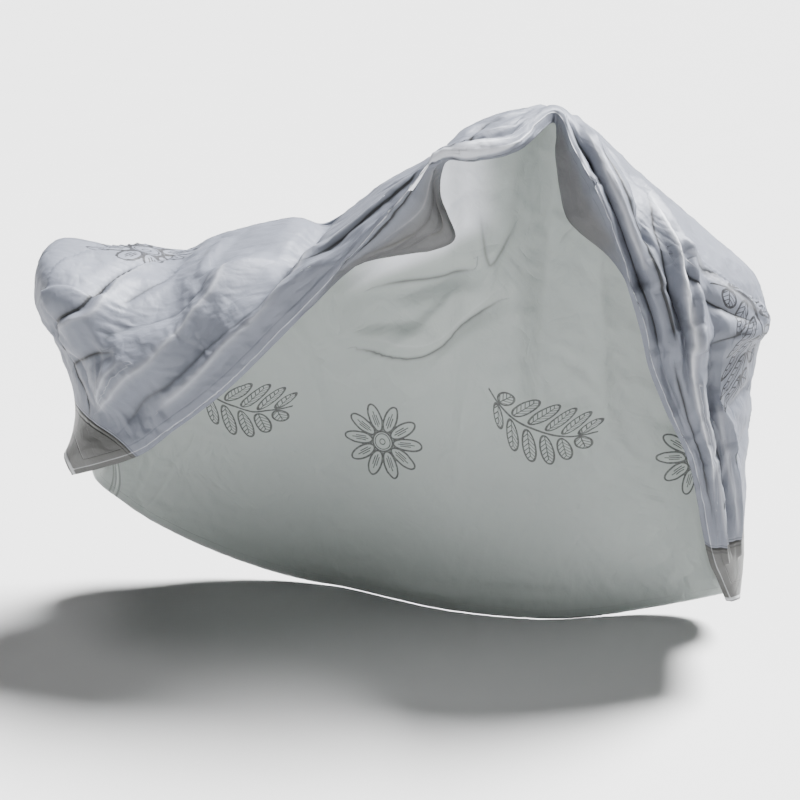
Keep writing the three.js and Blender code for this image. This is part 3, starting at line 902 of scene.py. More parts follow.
class Shader:
    """The node tree of one material or of the world."""

    def __init__(self, owner: bpy.types.Material | bpy.types.World) -> None:
        """Starts an empty tree.

        Args:
            owner: The new material or world.
        """
        self.owner = owner
        owner.use_nodes = True
        self.tree = owner.node_tree
        self.tree.nodes.clear()

    def node(
        self,
        kind: str,
        settings: dict[str, Any] | None = None,
        sockets: dict[str | int, Any] | None = None,
    ) -> bpy.types.Node:
        """Any node, with its settings made first and its sockets then filled or linked.

        Args:
            kind: Node type.
            settings: Attributes of the node; "stops" holds a ramp's places and grey tones.
            sockets: Values or links of its inputs.

        Returns:
            The node.
        """
        made = self.tree.nodes.new(kind)
        for name, value in (settings or {}).items():
            if name == "stops":
                ramp = made.color_ramp.elements
                while len(ramp) < len(value):
                    ramp.new(0.5)
                for element, (place, tone) in zip(ramp, value):
                    element.position, element.color = place, (tone, tone, tone, 1.0)
            else:
                setattr(made, name, value)
        for name, value in (sockets or {}).items():
            socket = made.inputs[name]
            if isinstance(value, Value):
                self.tree.links.new(value.socket, socket)
            elif isinstance(value, tuple) and len(value) == 3 and socket.type == "RGBA":
                socket.default_value = (*value, 1.0)
            else:
                socket.default_value = value
        return made

    def out(self, node: bpy.types.Node, name: str | int = 0) -> Value:
        """One output of a node, ready for expressions."""
        return Value(self, node.outputs[name])

    def maths(self, operation: str, *terms: "Value | float") -> Value:
        """A Math node on up to three terms."""
        made = self.node("ShaderNodeMath", {"operation": operation}, dict(enumerate(terms)))
        return self.out(made)

    def mix(self, share: "Value | float", first: Any, second: Any) -> Value:
        """A colour between two colours."""
        sockets = {"Factor": share, 6: first, 7: second}
        return self.out(self.node("ShaderNodeMix", {"data_type": "RGBA"}, sockets), 2)

    def place(self) -> Value:
        """Object coordinates."""
        return self.out(self.node("ShaderNodeTexCoord"), "Object")

    def mapped(self, name: str) -> tuple[Value, Value]:
        """The two coordinates of a UV map."""
        place = self.out(self.node("ShaderNodeUVMap", {"uv_map": name}))
        split = self.node("ShaderNodeSeparateXYZ", {}, {0: place})
        return self.out(split, "X"), self.out(split, "Y")

    def noise(self, vector: Value, noise: Noise) -> Value:
        """One noise.

        Args:
            vector: Where it is read.
            noise: Its settings.

        Returns:
            A value between 0 and 1.
        """
        sockets = {
            "Vector": vector, "Scale": noise.scale, "Detail": noise.detail,
            "Distortion": noise.distortion,
        }
        return self.out(self.node("ShaderNodeTexNoise", {}, sockets), "Fac")

    def bump(
        self, height: Value, distance: float, strength: float, normal: Value | None = None
    ) -> Value:
        """A bump, on another where one is given.

        Args:
            height: What stands out.
            distance: How far it does, in metres.
            strength: How strongly it shows.
            normal: The bump below it.

        Returns:
            The normal.
        """
        sockets: dict[str | int, Any] = {
            "Height": height, "Distance": distance, "Strength": strength,
        }
        if normal is not None:
            sockets["Normal"] = normal
        return self.out(self.node("ShaderNodeBump", {}, sockets))

    def finish(self, sockets: dict[str | int, Any]) -> bpy.types.Material:
        """Ends the tree in a Principled shader."""
        shader = self.node("ShaderNodeBsdfPrincipled", {}, sockets)
        self.node("ShaderNodeOutputMaterial", {}, {"Surface": self.out(shader)})
        return self.owner


class Side(Enum):
    """Which face of the film a finish is for."""

    OUTSIDE = "outside"
    INSIDE = "inside"


class Motif(Enum):
    """Line drawings of the print."""

    DAISY = "daisy"
    SPRIG = "sprig"


@dataclass(frozen=True)
class PrintRow:
    """One row of prints on a flat cut, in metres from its ridge and along it.

    Attributes:
        girth: How far the row lies from the ridge, with its side's sign.
        pitch: From one print to the next.
        first: Where the first is.
        swing: How far every second print sits above the row, and the others below.
        size: Width of a print.
    """

    girth: float
    pitch: float
    first: float
    swing: float
    size: float


@dataclass(frozen=True)
class LineArt:
    """The print's drawings, as distances in metres to their lines.

    Attributes:
        shader: The material that they are drawn in.
        least_slope: Least slope that a distance to an ellipse is divided by.
        petals: Petals of a daisy. Its other measures are shares of its radius.
        petal: Middle, half length and half width of a petal.
        vein: Middle and half length of a petal's vein.
        side_vein: The same for the veins beside it, and how far they lie from it.
        stamen: Middle and half length of a stamen.
        tip: Middle and radius of a stamen's tip.
        rings: Radii of the rings, the broad one first.
        leaf_pairs: Pairs of leaves on a sprig.
        stem: Bend, drop and half length of the stem, as shares of its length.
        lean: How far the leaves lean along the stem.
        reach: Reach of the middle leaves, and its fall towards the ends.
        least_reach: Least reach of a leaf, in metres.
        leaf: Middle and half length of a leaf as shares of its reach, and its half width as one of
            the pitch.
        leaf_vein: Middle and half length of a leaf's vein, as shares of its reach.
        leafed: Share of the length, to each side of the middle, that has leaves.
        barb: Spacing of the fine veins as a share of the length, and their lean.
        barb_inset: How far they stay inside the leaf, in metres.
        soft: Soft edge of a line, in metres.
        broad: Half width of a broad line, in metres.
        fine: Half width of a fine line, in metres.
        sizes: Size of a daisy and of a sprig, as shares of the row's size.
        tilt: Cosine and sine of the sprigs' tilt, nearly.
        band: Half width of the row's own band, as a share of its size.
        band_edge: Soft edge of that band, in metres.
    """

    shader: Shader
    least_slope: float = 1e-3
    petals: int = 10
    petal: tuple[float, float, float] = (0.64, 0.36, 0.155)
    vein: tuple[float, float] = (0.60, 0.20)
    side_vein: tuple[float, float, float] = (0.58, 0.12, 0.05)
    stamen: tuple[float, float] = (0.40, 0.12)
    tip: tuple[float, float] = (0.56, 0.018)
    rings: tuple[float, float, float] = (0.26, 0.20, 0.07)
    leaf_pairs: float = 6.5
    stem: tuple[float, float, float] = (0.8, 0.04, 0.5)
    lean: float = 0.62
    reach: tuple[float, float] = (0.27, 3.2)
    least_reach: float = 0.01
    leaf: tuple[float, float, float] = (0.56, 0.46, 0.37)
    leaf_vein: tuple[float, float] = (0.5, 0.36)
    leafed: float = 0.47
    barb: tuple[float, float] = (0.07, 0.9)
    barb_inset: float = 0.0015
    soft: float = 0.0007
    broad: float = 0.0020
    fine: float = 0.0011
    sizes: tuple[float, float] = (0.8, 1.15)
    tilt: tuple[float, float] = (0.94, 0.34)
    band: float = 0.62
    band_edge: float = 0.002

    def length(self, x: Value, y: Value) -> Value:
        """Length of a vector."""
        return self.shader.maths("SQRT", x * x + y * y)

    def ellipse(self, x: Value, y: Value, a: Any, b: Any) -> Value:
        """Distance to an ellipse about zero, nearly.

        Args:
            x: Place along it.
            y: Place across it.
            a: Half its length.
            b: Half its width.

        Returns:
            The distance, below zero inside.
        """
        share = self.length(x / a, y / b)
        slope = self.length(x / (a * a), y / (b * b)).most(self.least_slope)
        return share * (share - 1.0) / slope

    def dash(self, x: Value, y: Value, middle: Any, half: Any) -> Value:
        """Distance to a short line along x, from its middle and its half length."""
        return abs(y).most(abs(x - middle) - half)

    def fraction(self, value: Value) -> Value:
        """What a value has past a whole number, less a half."""
        return self.shader.maths("FRACT", value) - 0.5

    def wedge(self, x: Value, y: Value, turn: float, start: float) -> tuple[Value, Value]:
        """Folds the plane about its middle into one wedge.

        Args:
            x: Place along the wedge.
            y: Place across it.
            turn: Angle of a wedge.
            start: Share of a wedge by which the first one is turned.

        Returns:
            The place along and across its wedge.
        """
        inside = self.fraction(self.shader.maths("ARCTAN2", y, x) / turn + start) * turn
        away = self.length(x, y)
        cosine, sine = (self.shader.maths(name, inside) for name in ("COSINE", "SINE"))
        return away * cosine, away * sine

    def daisy(self, x: Value, y: Value, r: float) -> tuple[Value, Value]:
        """A round flower.

        Args:
            x: Place from its middle.
            y: Place above its middle.
            r: Its radius.

        Returns:
            Distances to its broad lines and to its fine ones.
        """
        turn = math.tau / self.petals
        px, py = self.wedge(x, y, turn, 0.5)
        qx, qy = self.wedge(x, y, turn, 0.0)
        middle, half_length, half_width = (share * r for share in self.petal)
        petal = abs(self.ellipse(px - middle, py, half_length, half_width))
        vein = self.dash(px, py, *(share * r for share in self.vein))
        side_middle, side_half, beside = (share * r for share in self.side_vein)
        side = self.dash(px, abs(py) - beside, side_middle, side_half)
        stamen = self.dash(qx, qy, *(share * r for share in self.stamen))
        tip = self.length(qx - self.tip[0] * r, qy) - self.tip[1] * r
        outer, ring, heart = (abs(self.length(x, y) - share * r) for share in self.rings)
        fine = functools.reduce(Value.least, [vein, side, stamen, tip, ring, heart])
        return petal.least(outer), fine

    def sprig(self, x: Value, y: Value, length: float) -> tuple[Value, Value]:
        """A bent stem with paired leaves.

        Args:
            x: Place from its middle.
            y: Place above its middle.
            length: Its length.

        Returns:
            Distances to its broad lines and to its fine ones.
        """
        bend, drop, half = self.stem
        out = abs(y - x * x * (bend / length) + drop * length)
        stem = out.most(abs(x) - half * length)
        pitch = length / self.leaf_pairs
        slant = x - out * self.lean
        cell = self.fraction(slant / pitch) * pitch
        place = (slant - cell) / length
        most, fall = self.reach
        reach = ((1.0 - place * place * fall) * (most * length)).most(self.least_reach)
        middle, half_length, half_width = self.leaf
        leaf = self.ellipse(
            cell, out - reach * middle, half_width * pitch, reach * half_length
        )
        within = abs(place) - self.leafed
        vein = self.dash(out, cell, *(reach * share for share in self.leaf_vein))
        spacing, lean = self.barb
        step = spacing * length / 2.0
        barb = abs(self.fraction((out - abs(cell) * lean) / step)) * step
        barb = barb.most(leaf + self.barb_inset)
        return stem.least(abs(leaf).most(within)), vein.least(barb).most(within)

    def line(self, distance: Value, half: float) -> Value:
        """Ink on a line of the given half width."""
        return ((half - distance) / self.soft + 0.5).held()

    def draw(self, motif: Motif, x: Value, y: Value, size: float) -> Value:
        """Ink of one print about its own middle.

        Args:
            motif: What is drawn.
            x: Place from its middle.
            y: Place above its middle.
            size: Its width.

        Returns:
            Ink, from 0 to 1.
        """
        if motif is Motif.DAISY:
            broad, fine = self.daisy(x, y, size / 2)
        else:
            broad, fine = self.sprig(x, y, size)
        return self.line(broad, self.broad).most(self.line(fine, self.fine))

    def row(self, row: PrintRow, x: Value, y: Value) -> Value:
        """Ink of one row of prints, daisies and sprigs by turns.

        Args:
            row: The row.
            x: Place along the cut.
            y: Place from its ridge.

        Returns:
            Ink, from 0 to 1.
        """
        place = (x - row.first) / row.pitch + 0.5
        number = self.shader.maths("FLOOR", place)
        odd = abs(self.shader.maths("MODULO", number, 2.0))
        local_x = (place - number - 0.5) * row.pitch
        local_y = y - row.girth - (odd * 2.0 - 1.0) * row.swing
        cosine, sine = self.tilt
        tilt_x, tilt_y = local_x * cosine - local_y * sine, local_y * cosine + local_x * sine
        daisy_size, sprig_size = (share * row.size for share in self.sizes)
        daisy = self.draw(Motif.DAISY, local_x, local_y, daisy_size)
        sprig = self.draw(Motif.SPRIG, tilt_x, tilt_y, sprig_size)
        beside = (1.0 - (abs(local_y) - row.size * self.band) / self.band_edge).held()
        return (daisy * (1.0 - odd) + sprig * odd) * beside


@dataclass(frozen=True)
class EdgeLine:
    """A line along an edge of the cut: its inset, half width and soft edge, in metres."""

    inset: float
    half: float
    soft: float

    def share(self, distance: Value) -> Value:
        """How strongly the line shows at a distance from the edge."""
        return 1.0 - ((abs(distance - self.inset) - self.half) / self.soft).held()


@dataclass(frozen=True)
class Relief:
    """Low relief that a noise gives to the film.

    Attributes:
        noise: The noise.
        distance: How far it stands out, in metres.
        strength: How strongly it shows.
        ridged: Whether it is made of crisp lines.
    """

    noise: Noise
    distance: float
    strength: float
    ridged: bool = True

    def bump(self, shader: Shader, place: Value, normal: Value | None) -> Value:
        """The relief on top of what lies below it.

        Args:
            shader: The material.
            place: Where the noise is read.
            normal: The bump below it.

        Returns:
            The normal.
        """
        height = shader.noise(place, self.noise)
        if self.ridged:
            height = abs(height - 0.5)
        return shader.bump(height, self.distance, self.strength, normal)


BROAD_MOTTLE, FINE_MOTTLE = Noise(3.5, 3.0, 0.4), Noise(70.0, 3.0, 0.8)
PRINT_WEAR = Noise(180.0, 3.0)
RELIEFS = (
    Relief(Noise(9.0, 2.0, 1.2), 0.010, 0.50),
    Relief(Noise(34.0, 2.0, 1.6), 0.0022, 0.42),
    Relief(Noise(1100.0, 1.0), 0.00015, 0.25, ridged=False),
)
# The hem's bead, which stands out and carries a painted highlight.
HEM_BEAD_AND_HIGHLIGHT = EdgeLine(inset=0.0030, half=0.0008, soft=0.0012)
HEM_LINE = EdgeLine(inset=0.019, half=0.0002, soft=0.0008)
WELD_LINE = EdgeLine(inset=0.005, half=0.0006, soft=0.0011)


@dataclass(frozen=True)
class FilmFinish:
    """Silver-grey film with small creases, a fine grain, welded lines, a hem and its print. It has
    painted shade and painted highlights along crisp lines, a painted highlight on the hem's bead,
    painted shade where it turns under and, on the inside, painted light where light shines through.

    Attributes:
        side: Which face it is for.
        light: Lighter tone, linear.
        dark: Darker tone, linear.
        ink: Tone of the print on this face.
        hem: Tone of the painted highlight on the hem's bead and on the crisp light lines.
        roughness: Mean roughness.
        metallic: Metallic share.
        rows: Rows of print.
        shade: Tone of the painted shade on what is turned under.
        lit: Tone of the painted light on the inside where light shines through.
        mottle: Shares of the broad and of the fine mottle.
        wear: Least share of ink, and how much more the wear of the print leaves.
        flank: Shares of a crisp line's soft flank and of its narrow core.
        core: How many times as wide a crisp line is as its core.
        crease_shade_and_seam_tone: Tone of the painted shade in crisp dark lines and of the welded
            and hem lines, as a share of the darker tone.
        crest_highlight_strength: How strongly the painted highlights on crisp light lines show.
        crease_shade_strength: How strongly the painted shade in crisp dark lines shows.
        cover: How strongly shade and light from behind show.
        bead_highlight_strength: How strongly the bead's painted highlight shows.
        seam_tones: How strongly the hem's line and the weld's line show.
        seam_depths: How deep those lines lie, against the bead.
        line_relief: How far the bead stands out, in metres, and how strongly it shows.
        gloss: How far the roughness varies with the fine mottle, and how much smoother the bead is.
        specular: Specular level.
    """

    side: Side
    light: tuple[float, float, float]
    dark: tuple[float, float, float]
    ink: tuple[float, float, float]
    hem: tuple[float, float, float]
    roughness: float
    metallic: float
    rows: tuple[PrintRow, ...] = ()
    shade: tuple[float, float, float] = (0.075, 0.074, 0.072)
    lit: tuple[float, float, float] = (0.92, 0.94, 1.0)
    mottle: tuple[float, float] = (0.75, 0.25)
    wear: tuple[float, float] = (0.62, 0.6)
    flank: tuple[float, float] = (0.75, 0.5)
    core: float = 3.0
    crease_shade_and_seam_tone: float = 0.10
    crest_highlight_strength: float = 0.8
    crease_shade_strength: float = 1.25
    cover: float = 0.85
    bead_highlight_strength: float = 0.7
    seam_tones: tuple[float, float] = (0.15, 0.45)
    seam_depths: tuple[float, float] = (0.6, 0.7)
    line_relief: tuple[float, float] = (0.0012, 0.8)
    gloss: tuple[float, float] = (0.12, 0.06)
    specular: float = 0.4

    def ink_share(self, shader: Shader) -> Value:
        """Where the print lies on the cut.

        Args:
            shader: The material.

        Returns:
            Ink, from 0 to 1.
        """
        art = LineArt(shader)
        x, y = shader.mapped("cut")
        ink = functools.reduce(Value.most, [art.row(row, x, y) for row in self.rows])
        least, more = self.wear
        return ink * (least + shader.noise(shader.place(), PRINT_WEAR) * more).held()

    def painted_crisp_line(self, shader: Shader, name: str) -> Value:
        """How strongly a crisp line's painted shade or painted highlight shows, with a narrow core
        in a softer flank.

        Args:
            shader: The material.
            name: UV map that holds the line's place and strength.

        Returns:
            Its share.
        """
        place, strength = shader.mapped(name)
        near = (1.0 - abs(place)).held()
        soft, crisp = self.flank
        core = (near * self.core - (self.core - 1.0)).held()
        return (near * near * soft + core * crisp) * strength

    def build(self, name: str) -> bpy.types.Material:
        """The material.

        Args:
            name: Name of the piece that it is for.

        Returns:
            The material.
        """
        shader = Shader(bpy.data.materials.new(f"{name}_{self.side.value}"))
        place = shader.place()
        from_hem, from_weld = shader.mapped("edge")
        shaded, lit = shader.mapped("light")
        # Masks of the painted shade in crisp dark lines and of the painted highlight on crisp light
        # lines; they also shape the bump.
        painted_crease_shade = self.painted_crisp_line(shader, "dark line")
        painted_crest_highlight = self.painted_crisp_line(shader, "light line")
        broad, fine = (shader.noise(place, noise) for noise in (BROAD_MOTTLE, FINE_MOTTLE))
        # The bead's mask places its relief, its gloss and its painted highlight.
        bead, hem_line = HEM_BEAD_AND_HIGHLIGHT.share(from_hem), HEM_LINE.share(from_hem)
        weld_line = WELD_LINE.share(from_weld)
        # Dark tone of the painted shade in crisp dark lines and of the hem and weld lines.
        crease_shade_and_seam_tone = tuple(tone * self.crease_shade_and_seam_tone for tone in self.dark)
        layers = [(self.ink_share(shader), self.ink)] if self.rows else []
        # Painted highlight on crisp light lines, painted shade in crisp dark lines and painted
        # shade on what is turned under.
        layers += [
            (painted_crest_highlight * self.crest_highlight_strength, self.hem),
            ((painted_crease_shade * self.crease_shade_strength).held(), crease_shade_and_seam_tone),
            (shaded * self.cover, self.shade),
        ]
        # Painted light on the inside where light shines through the film.
        if self.side is Side.INSIDE:
            layers.append((lit.held() * self.cover, self.lit))
        # Painted highlight on the hem's bead, then the darker hem and weld lines.
        hem_tone, weld_tone = self.seam_tones
        layers += [
            (bead * self.bead_highlight_strength, self.hem),
            ((hem_line * hem_tone).most(weld_line * weld_tone), crease_shade_and_seam_tone),
        ]
        colour = shader.mix(
            broad * self.mottle[0] + fine * self.mottle[1], self.dark, self.light
        )
        for share, tone in layers:
            colour = shader.mix(share, colour, tone)
        normal = None
        for relief in RELIEFS:
            normal = relief.bump(shader, place, normal)
        hem_depth, weld_depth = self.seam_depths
        lines = bead + painted_crest_highlight - hem_line * hem_depth - weld_line * weld_depth - painted_crease_shade
        normal = shader.bump(lines, *self.line_relief, normal)
        varied, smoother = self.gloss
        rough = (self.roughness + (fine - 0.5) * varied - bead * smoother).held()
        return shader.finish({
            "Base Color": colour, "Roughness": rough, "Metallic": self.metallic,
            "Normal": normal, "Specular IOR Level": self.specular,
        })


FAR_ROW = PrintRow(girth=0.410, pitch=0.335, first=-0.045, swing=0.030, size=0.215)
NEAR_ROW = PrintRow(girth=0.095, pitch=1.500, first=0.46, swing=0.055, size=0.215)

# In each finish, hem is the tone of the painted highlight on the hem's bead and on crisp light
# lines.
NEAR_OUTSIDE = FilmFinish(
    side=Side.OUTSIDE, light=(0.140, 0.151, 0.184), dark=(0.096, 0.104, 0.127),
    ink=(0.008, 0.008, 0.010), hem=(0.42, 0.43, 0.46),
    roughness=0.56, metallic=0.12, rows=(NEAR_ROW,),
)
NEAR_INSIDE = FilmFinish(
    side=Side.INSIDE, light=(0.330, 0.358, 0.344), dark=(0.275, 0.300, 0.287),
    ink=(0.055, 0.059, 0.057), hem=(0.44, 0.46, 0.46),
    roughness=0.52, metallic=0.0, rows=(NEAR_ROW,),
)
FAR_OUTSIDE = replace(NEAR_OUTSIDE, rows=(FAR_ROW,))
# Lighter than the near inside: painted light for the light that shines through the far wall.
LIT_FAR_INSIDE = replace(
    NEAR_INSIDE, light=(0.360, 0.395, 0.378), dark=(0.305, 0.335, 0.320), rows=(FAR_ROW,)
)
# Darker than the side panels: painted shade of the low corners, which lie in shade.
SHADED_GUSSET_OUTSIDE = replace(
    NEAR_OUTSIDE, light=(0.066, 0.066, 0.064), dark=(0.050, 0.050, 0.048),
    hem=(0.40, 0.41, 0.42), roughness=0.48, metallic=0.10, rows=(),
)
GUSSET_INSIDE = replace(NEAR_INSIDE, rows=())


# Pieces


@dataclass(frozen=True)
class Rows:
    """Rows of cells across a piece: from the ridge to the near edge, turned under, and far."""

    near: int
    hem: int
    far: int

    def shares(self) -> Array:
        """Shares across of the rows.

        Returns:
            The shares, from the far hem to the near hem.
        """
        parts = [np.linspace(-1.0, 0.0, self.far + 1)] if self.far else [np.array([0.0])]
        if self.near:
            parts.append(np.linspace(0.0, HEM_START, self.near + 1)[1:])
            parts.append(np.linspace(HEM_START, 1.0, self.hem + 1)[1:])
        return np.concatenate(parts)


@dataclass
class FilmPiece:
    """One cut piece of the cover.

    Attributes:
        name: Name of the piece.
        node: The solid that it stands for.
        columns: Cells along it.
        rows: Rows across it.
        stations: Gives the stations of a row's places from their shares along and across.
        flat: Width and length of the cut, in metres; not used.
        flat_area: Area of the cut, in square metres; not used.
        finishes: Outside and inside finish.
        slot: Material slot of the record; not used.
        slack: How it settles, if it does.
        pulls: Height of the long creases that its pull makes, in millimetres.
        pull_length: Squeezes the length of those creases, so that they run along the piece.
        pull_sizes: Sizes of the two layers that they are made of, in millimetres.
        pull_shift: Where the second layer is read, in millimetres.
        pull_band: Width over which they rise from the piece's edge, in millimetres.
        facets: Size, warp and height of the small creases, in millimetres.
        warp: How far the long creases wander.
        middles: Shares across at which the length of a near and of a far cut is measured.
        length_steps: Steps of that measuring.
        thickness: Thickness of the film, in metres.
        flat_out: How far out the far side hangs before it turns in, in millimetres.
        turn_over: Length over which the turning starts to count, in millimetres.
        shade_from: Past the near edge's fold, where shade starts, and over which share it does.
        shade_behind: Stations of the shade behind the top: from, rise, to and fall.
        shade_ahead: The same for the shade ahead of the top.
        lit_from: Share across from which light shines through, and over which share it rises.
        lit_along: Stations where it does: from, rise, to and fall.
        fold_in_bead: Where the near edge's fold lies in the hem's bead, in metres.
        crumple: Noise of the small creases.
    """

    name: str
    node: str
    columns: int
    rows: Rows
    stations: Callable[[Array, Array], Array]
    flat: tuple[float, float]
    flat_area: float
    finishes: tuple[FilmFinish, FilmFinish]
    slot: str
    slack: Slack | None = None
    pulls: float = 0.0
    pull_length: float = 0.30
    pull_sizes: tuple[float, float] = (60.0, 85.0)
    pull_shift: float = 500.0
    pull_band: float = 40.0
    facets: tuple[tuple[float, float, float], ...] = ((70.0, 0.55, 0.8), (27.0, 0.5, 0.35))
    warp: float = 0.5
    middles: tuple[float, float] = (0.45, -0.6)
    length_steps: int = 480
    thickness: float = 0.8 * MM
    flat_out: float = 150.0
    turn_over: float = 300.0
    shade_from: tuple[float, float] = (0.004, 0.05)
    shade_behind: tuple[float, float, float, float] = (8.2, 1.0, 11.4, 1.0)
    shade_ahead: tuple[float, float, float, float] = (14.0, 0.7, 17.0, 0.7)
    lit_from: tuple[float, float] = (-0.365, 0.05)
    lit_along: tuple[float, float, float, float] = (9.0, 1.2, 12.9, 1.0)
    fold_in_bead: float = 0.0035
    crumple: Crumple = field(default_factory=Crumple)

    def grid(self) -> tuple[Array, Array]:
        """The piece's grid, with an axis along and an axis across.

        Returns:
            Its stations and its shares across.
        """
        along, across = np.meshgrid(
            np.linspace(0, 1, self.columns + 1), self.rows.shares(), indexing="ij"
        )
        return self.stations(along, across), across

    def creased(self, drape: Drape) -> Array:
        """The piece's points in millimetres, folded and slightly crumpled.

        Args:
            drape: The draped sheet.

        Returns:
            The points, with an axis along and an axis across.
        """
        at, across = self.grid()
        places = drape.folded(at, across)
        small = sum(
            self.crumple.creases(places, size, warp) * height for size, warp, height in self.facets
        )
        if self.pulls:
            cut = self.cut_coordinates(drape) / MM
            edge = self.edge_distances(cut).min(axis=-1)
            run, girth = np.moveaxis(cut, -1, 0)
            flat = np.stack([run * self.pull_length, girth, np.zeros_like(at)], axis=-1)
            first, second = self.pull_sizes
            long = self.crumple.creases(flat, first, self.warp)
            long = long - self.crumple.creases(flat + self.pull_shift, second, self.warp)
            small = small + long * self.pulls * eased(edge / self.pull_band)
        return places + drape.outward(places) * small[..., None]

    def girth_at(self, share: float, across: Array, girth: Array) -> Array:
        """Girth of each column at one share across, as a column of its own."""
        return np.array([np.interp(share, *row) for row in zip(across, girth)])[:, None]

    def cut_coordinates(self, drape: Drape) -> Array:
        """Coordinates on the flat cut in metres.

        Args:
            drape: The draped sheet.

        Returns:
            Length along the middle of the cut, and girth from the seam.
        """
        at, across = self.grid()
        near, far = self.middles
        line = np.linspace(0.0, LAST_STATION, self.length_steps + 1)
        middle = np.full_like(line, far if across.min() < 0 else near)
        steps = np.linalg.norm(np.diff(drape.plain(line, middle), axis=0), axis=-1)
        run = np.interp(at, line, np.concatenate([[0.0], np.cumsum(steps)]))
        over = np.linalg.norm(np.diff(drape.plain(at, across), axis=1), axis=-1)
        girth = np.concatenate([np.zeros((len(at), 1)), np.cumsum(over, axis=1)], axis=1)
        return np.stack([run, girth - self.girth_at(0.0, across, girth)], axis=-1) * MM

    def print_places(self, drape: Drape) -> Array:
        """Where the print lies: level on the far side, which hangs almost flat.

        Towards its ends the far side turns inwards, so what it turns by is added to the way along.

        Args:
            drape: The draped sheet.

        Returns:
            Places along and across, in metres.
        """
        if self.rows.near:
            return self.cut_coordinates(drape)
        x, y, z = np.moveaxis(drape.plain(*self.grid()), -1, 0)
        turned = np.maximum(self.flat_out - y, 0.0) * np.clip(x / self.turn_over, -1.0, 1.0)
        return np.stack([x + turned, z], axis=-1) * MM

    def shaded_and_lit(self) -> Array:
        """How much each place lies in shade under the hem, and how much light shines through it.

        Returns:
            Both shares, from 0 to 1.
        """
        at, across = self.grid()
        inset, over = self.shade_from
        turned = eased((across - HEM_START - inset) / over)
        shade = np.maximum(between(at, *self.shade_behind), between(at, *self.shade_ahead))
        lowest, over = self.lit_from
        lit = eased((across - lowest) / over) * between(at, *self.lit_along)
        return np.stack([turned * shade, lit], axis=-1)

    def edge_distances(self, cut: Array) -> Array:
        """Distances to the nearest hem and to the nearest weld.

        Args:
            cut: Coordinates on the flat cut.

        Returns:
            Both distances, in the unit of the coordinates.
        """
        run, girth = cut[..., 0], cut[..., 1]
        across = self.grid()[1]
        hems = [np.full_like(run, np.abs(girth).max() + 1.0)]
        if self.rows.far:
            hems.append(girth - girth[:, :1])
        if self.rows.near:
            edge = self.girth_at(HEM_START, across, girth)
            hems.append(np.abs(edge - girth) + self.fold_in_bead)
        welds = [run - run[:1], run[-1:] - run]
        if self.name.startswith("rear"):
            hems.append(welds.pop(0))
        elif self.name.startswith("front"):
            hems.append(welds.pop(1))
        else:
            welds.append(np.abs(girth))
        return np.stack([np.min(hems, axis=0), np.min(welds, axis=0)], axis=-1)

    def mesh_of(self, points: Array, maps: dict[str, Array]) -> tuple[bpy.types.Mesh, tuple]:
        """The piece's mesh, with its UV maps.

        Args:
            points: Its points in metres, with an axis along and an axis across.
            maps: Two coordinates for each point, by the name of their UV map.

        Returns:
            The mesh, and the column and row of each of its vertices.
        """
        columns, rows = points.shape[0] - 1, points.shape[1] - 1
        mesh = bpy.data.meshes.new(self.name)
        shape = bmesh.new()
        bmesh.ops.create_grid(shape, x_segments=rows, y_segments=columns, size=0.5)
        corners = np.array([vertex.co[:2] for vertex in shape.verts]) + 0.5
        row, column = np.rint(corners * (rows, columns)).astype(int).T
        for vertex, point in zip(shape.verts, points[column, row]):
            vertex.co = point
        for face in shape.faces:
            face.smooth = True
        shape.to_mesh(mesh)
        shape.free()
        vertex_of_loop = np.empty(len(mesh.loops), dtype=np.int32)
        mesh.loops.foreach_get("vertex_index", vertex_of_loop)
        for name, places in maps.items():
            corners = places[column, row][vertex_of_loop].astype(np.float32)
            mesh.uv_layers.new(name=name).data.foreach_set("uv", corners.ravel())
        return mesh, (column, row)

    def build(self, drape: Drape, shift: Array) -> bpy.types.Object:
        """Makes the piece as an object at the origin.

        Args:
            drape: The draped sheet.
            shift: What sets the sheet in the frame, in millimetres.

        Returns:
            The piece.
        """
        points = (self.creased(drape) + shift) * MM
        mesh, vertices = self.mesh_of(points, {
            "cut": self.print_places(drape),
            "edge": self.edge_distances(self.cut_coordinates(drape)),
            "light": self.shaded_and_lit(),
            "dark line": drape.painted_shading_lines(*self.grid(), dark=True),
            "light line": drape.painted_shading_lines(*self.grid(), dark=False),
        })
        piece = bpy.data.objects.new(self.name, mesh)
        bpy.context.scene.collection.objects.link(piece)
        for finish in self.finishes:
            mesh.materials.append(finish.build(self.name))
        if self.slack:
            self.slack.settle(piece, self.slack.held(points.shape[:2])[vertices])
        film = piece.modifiers.new("film", "SOLIDIFY")
        film.thickness = self.thickness
        film.offset = -1.0
        film.material_offset = 1
        film.use_rim = True
        self.declare(piece)
        return piece

    def declare(self, piece: bpy.types.Object) -> None:
        """Hangs the piece on the root body, hides the solid that it stands for, and logs its cells
        and rows.

        Args:
            piece: The finished piece.
        """
        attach(piece, "root")
        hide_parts(self.node)
        log.info("%s: %d cells along, %s", self.name, self.columns, self.rows)


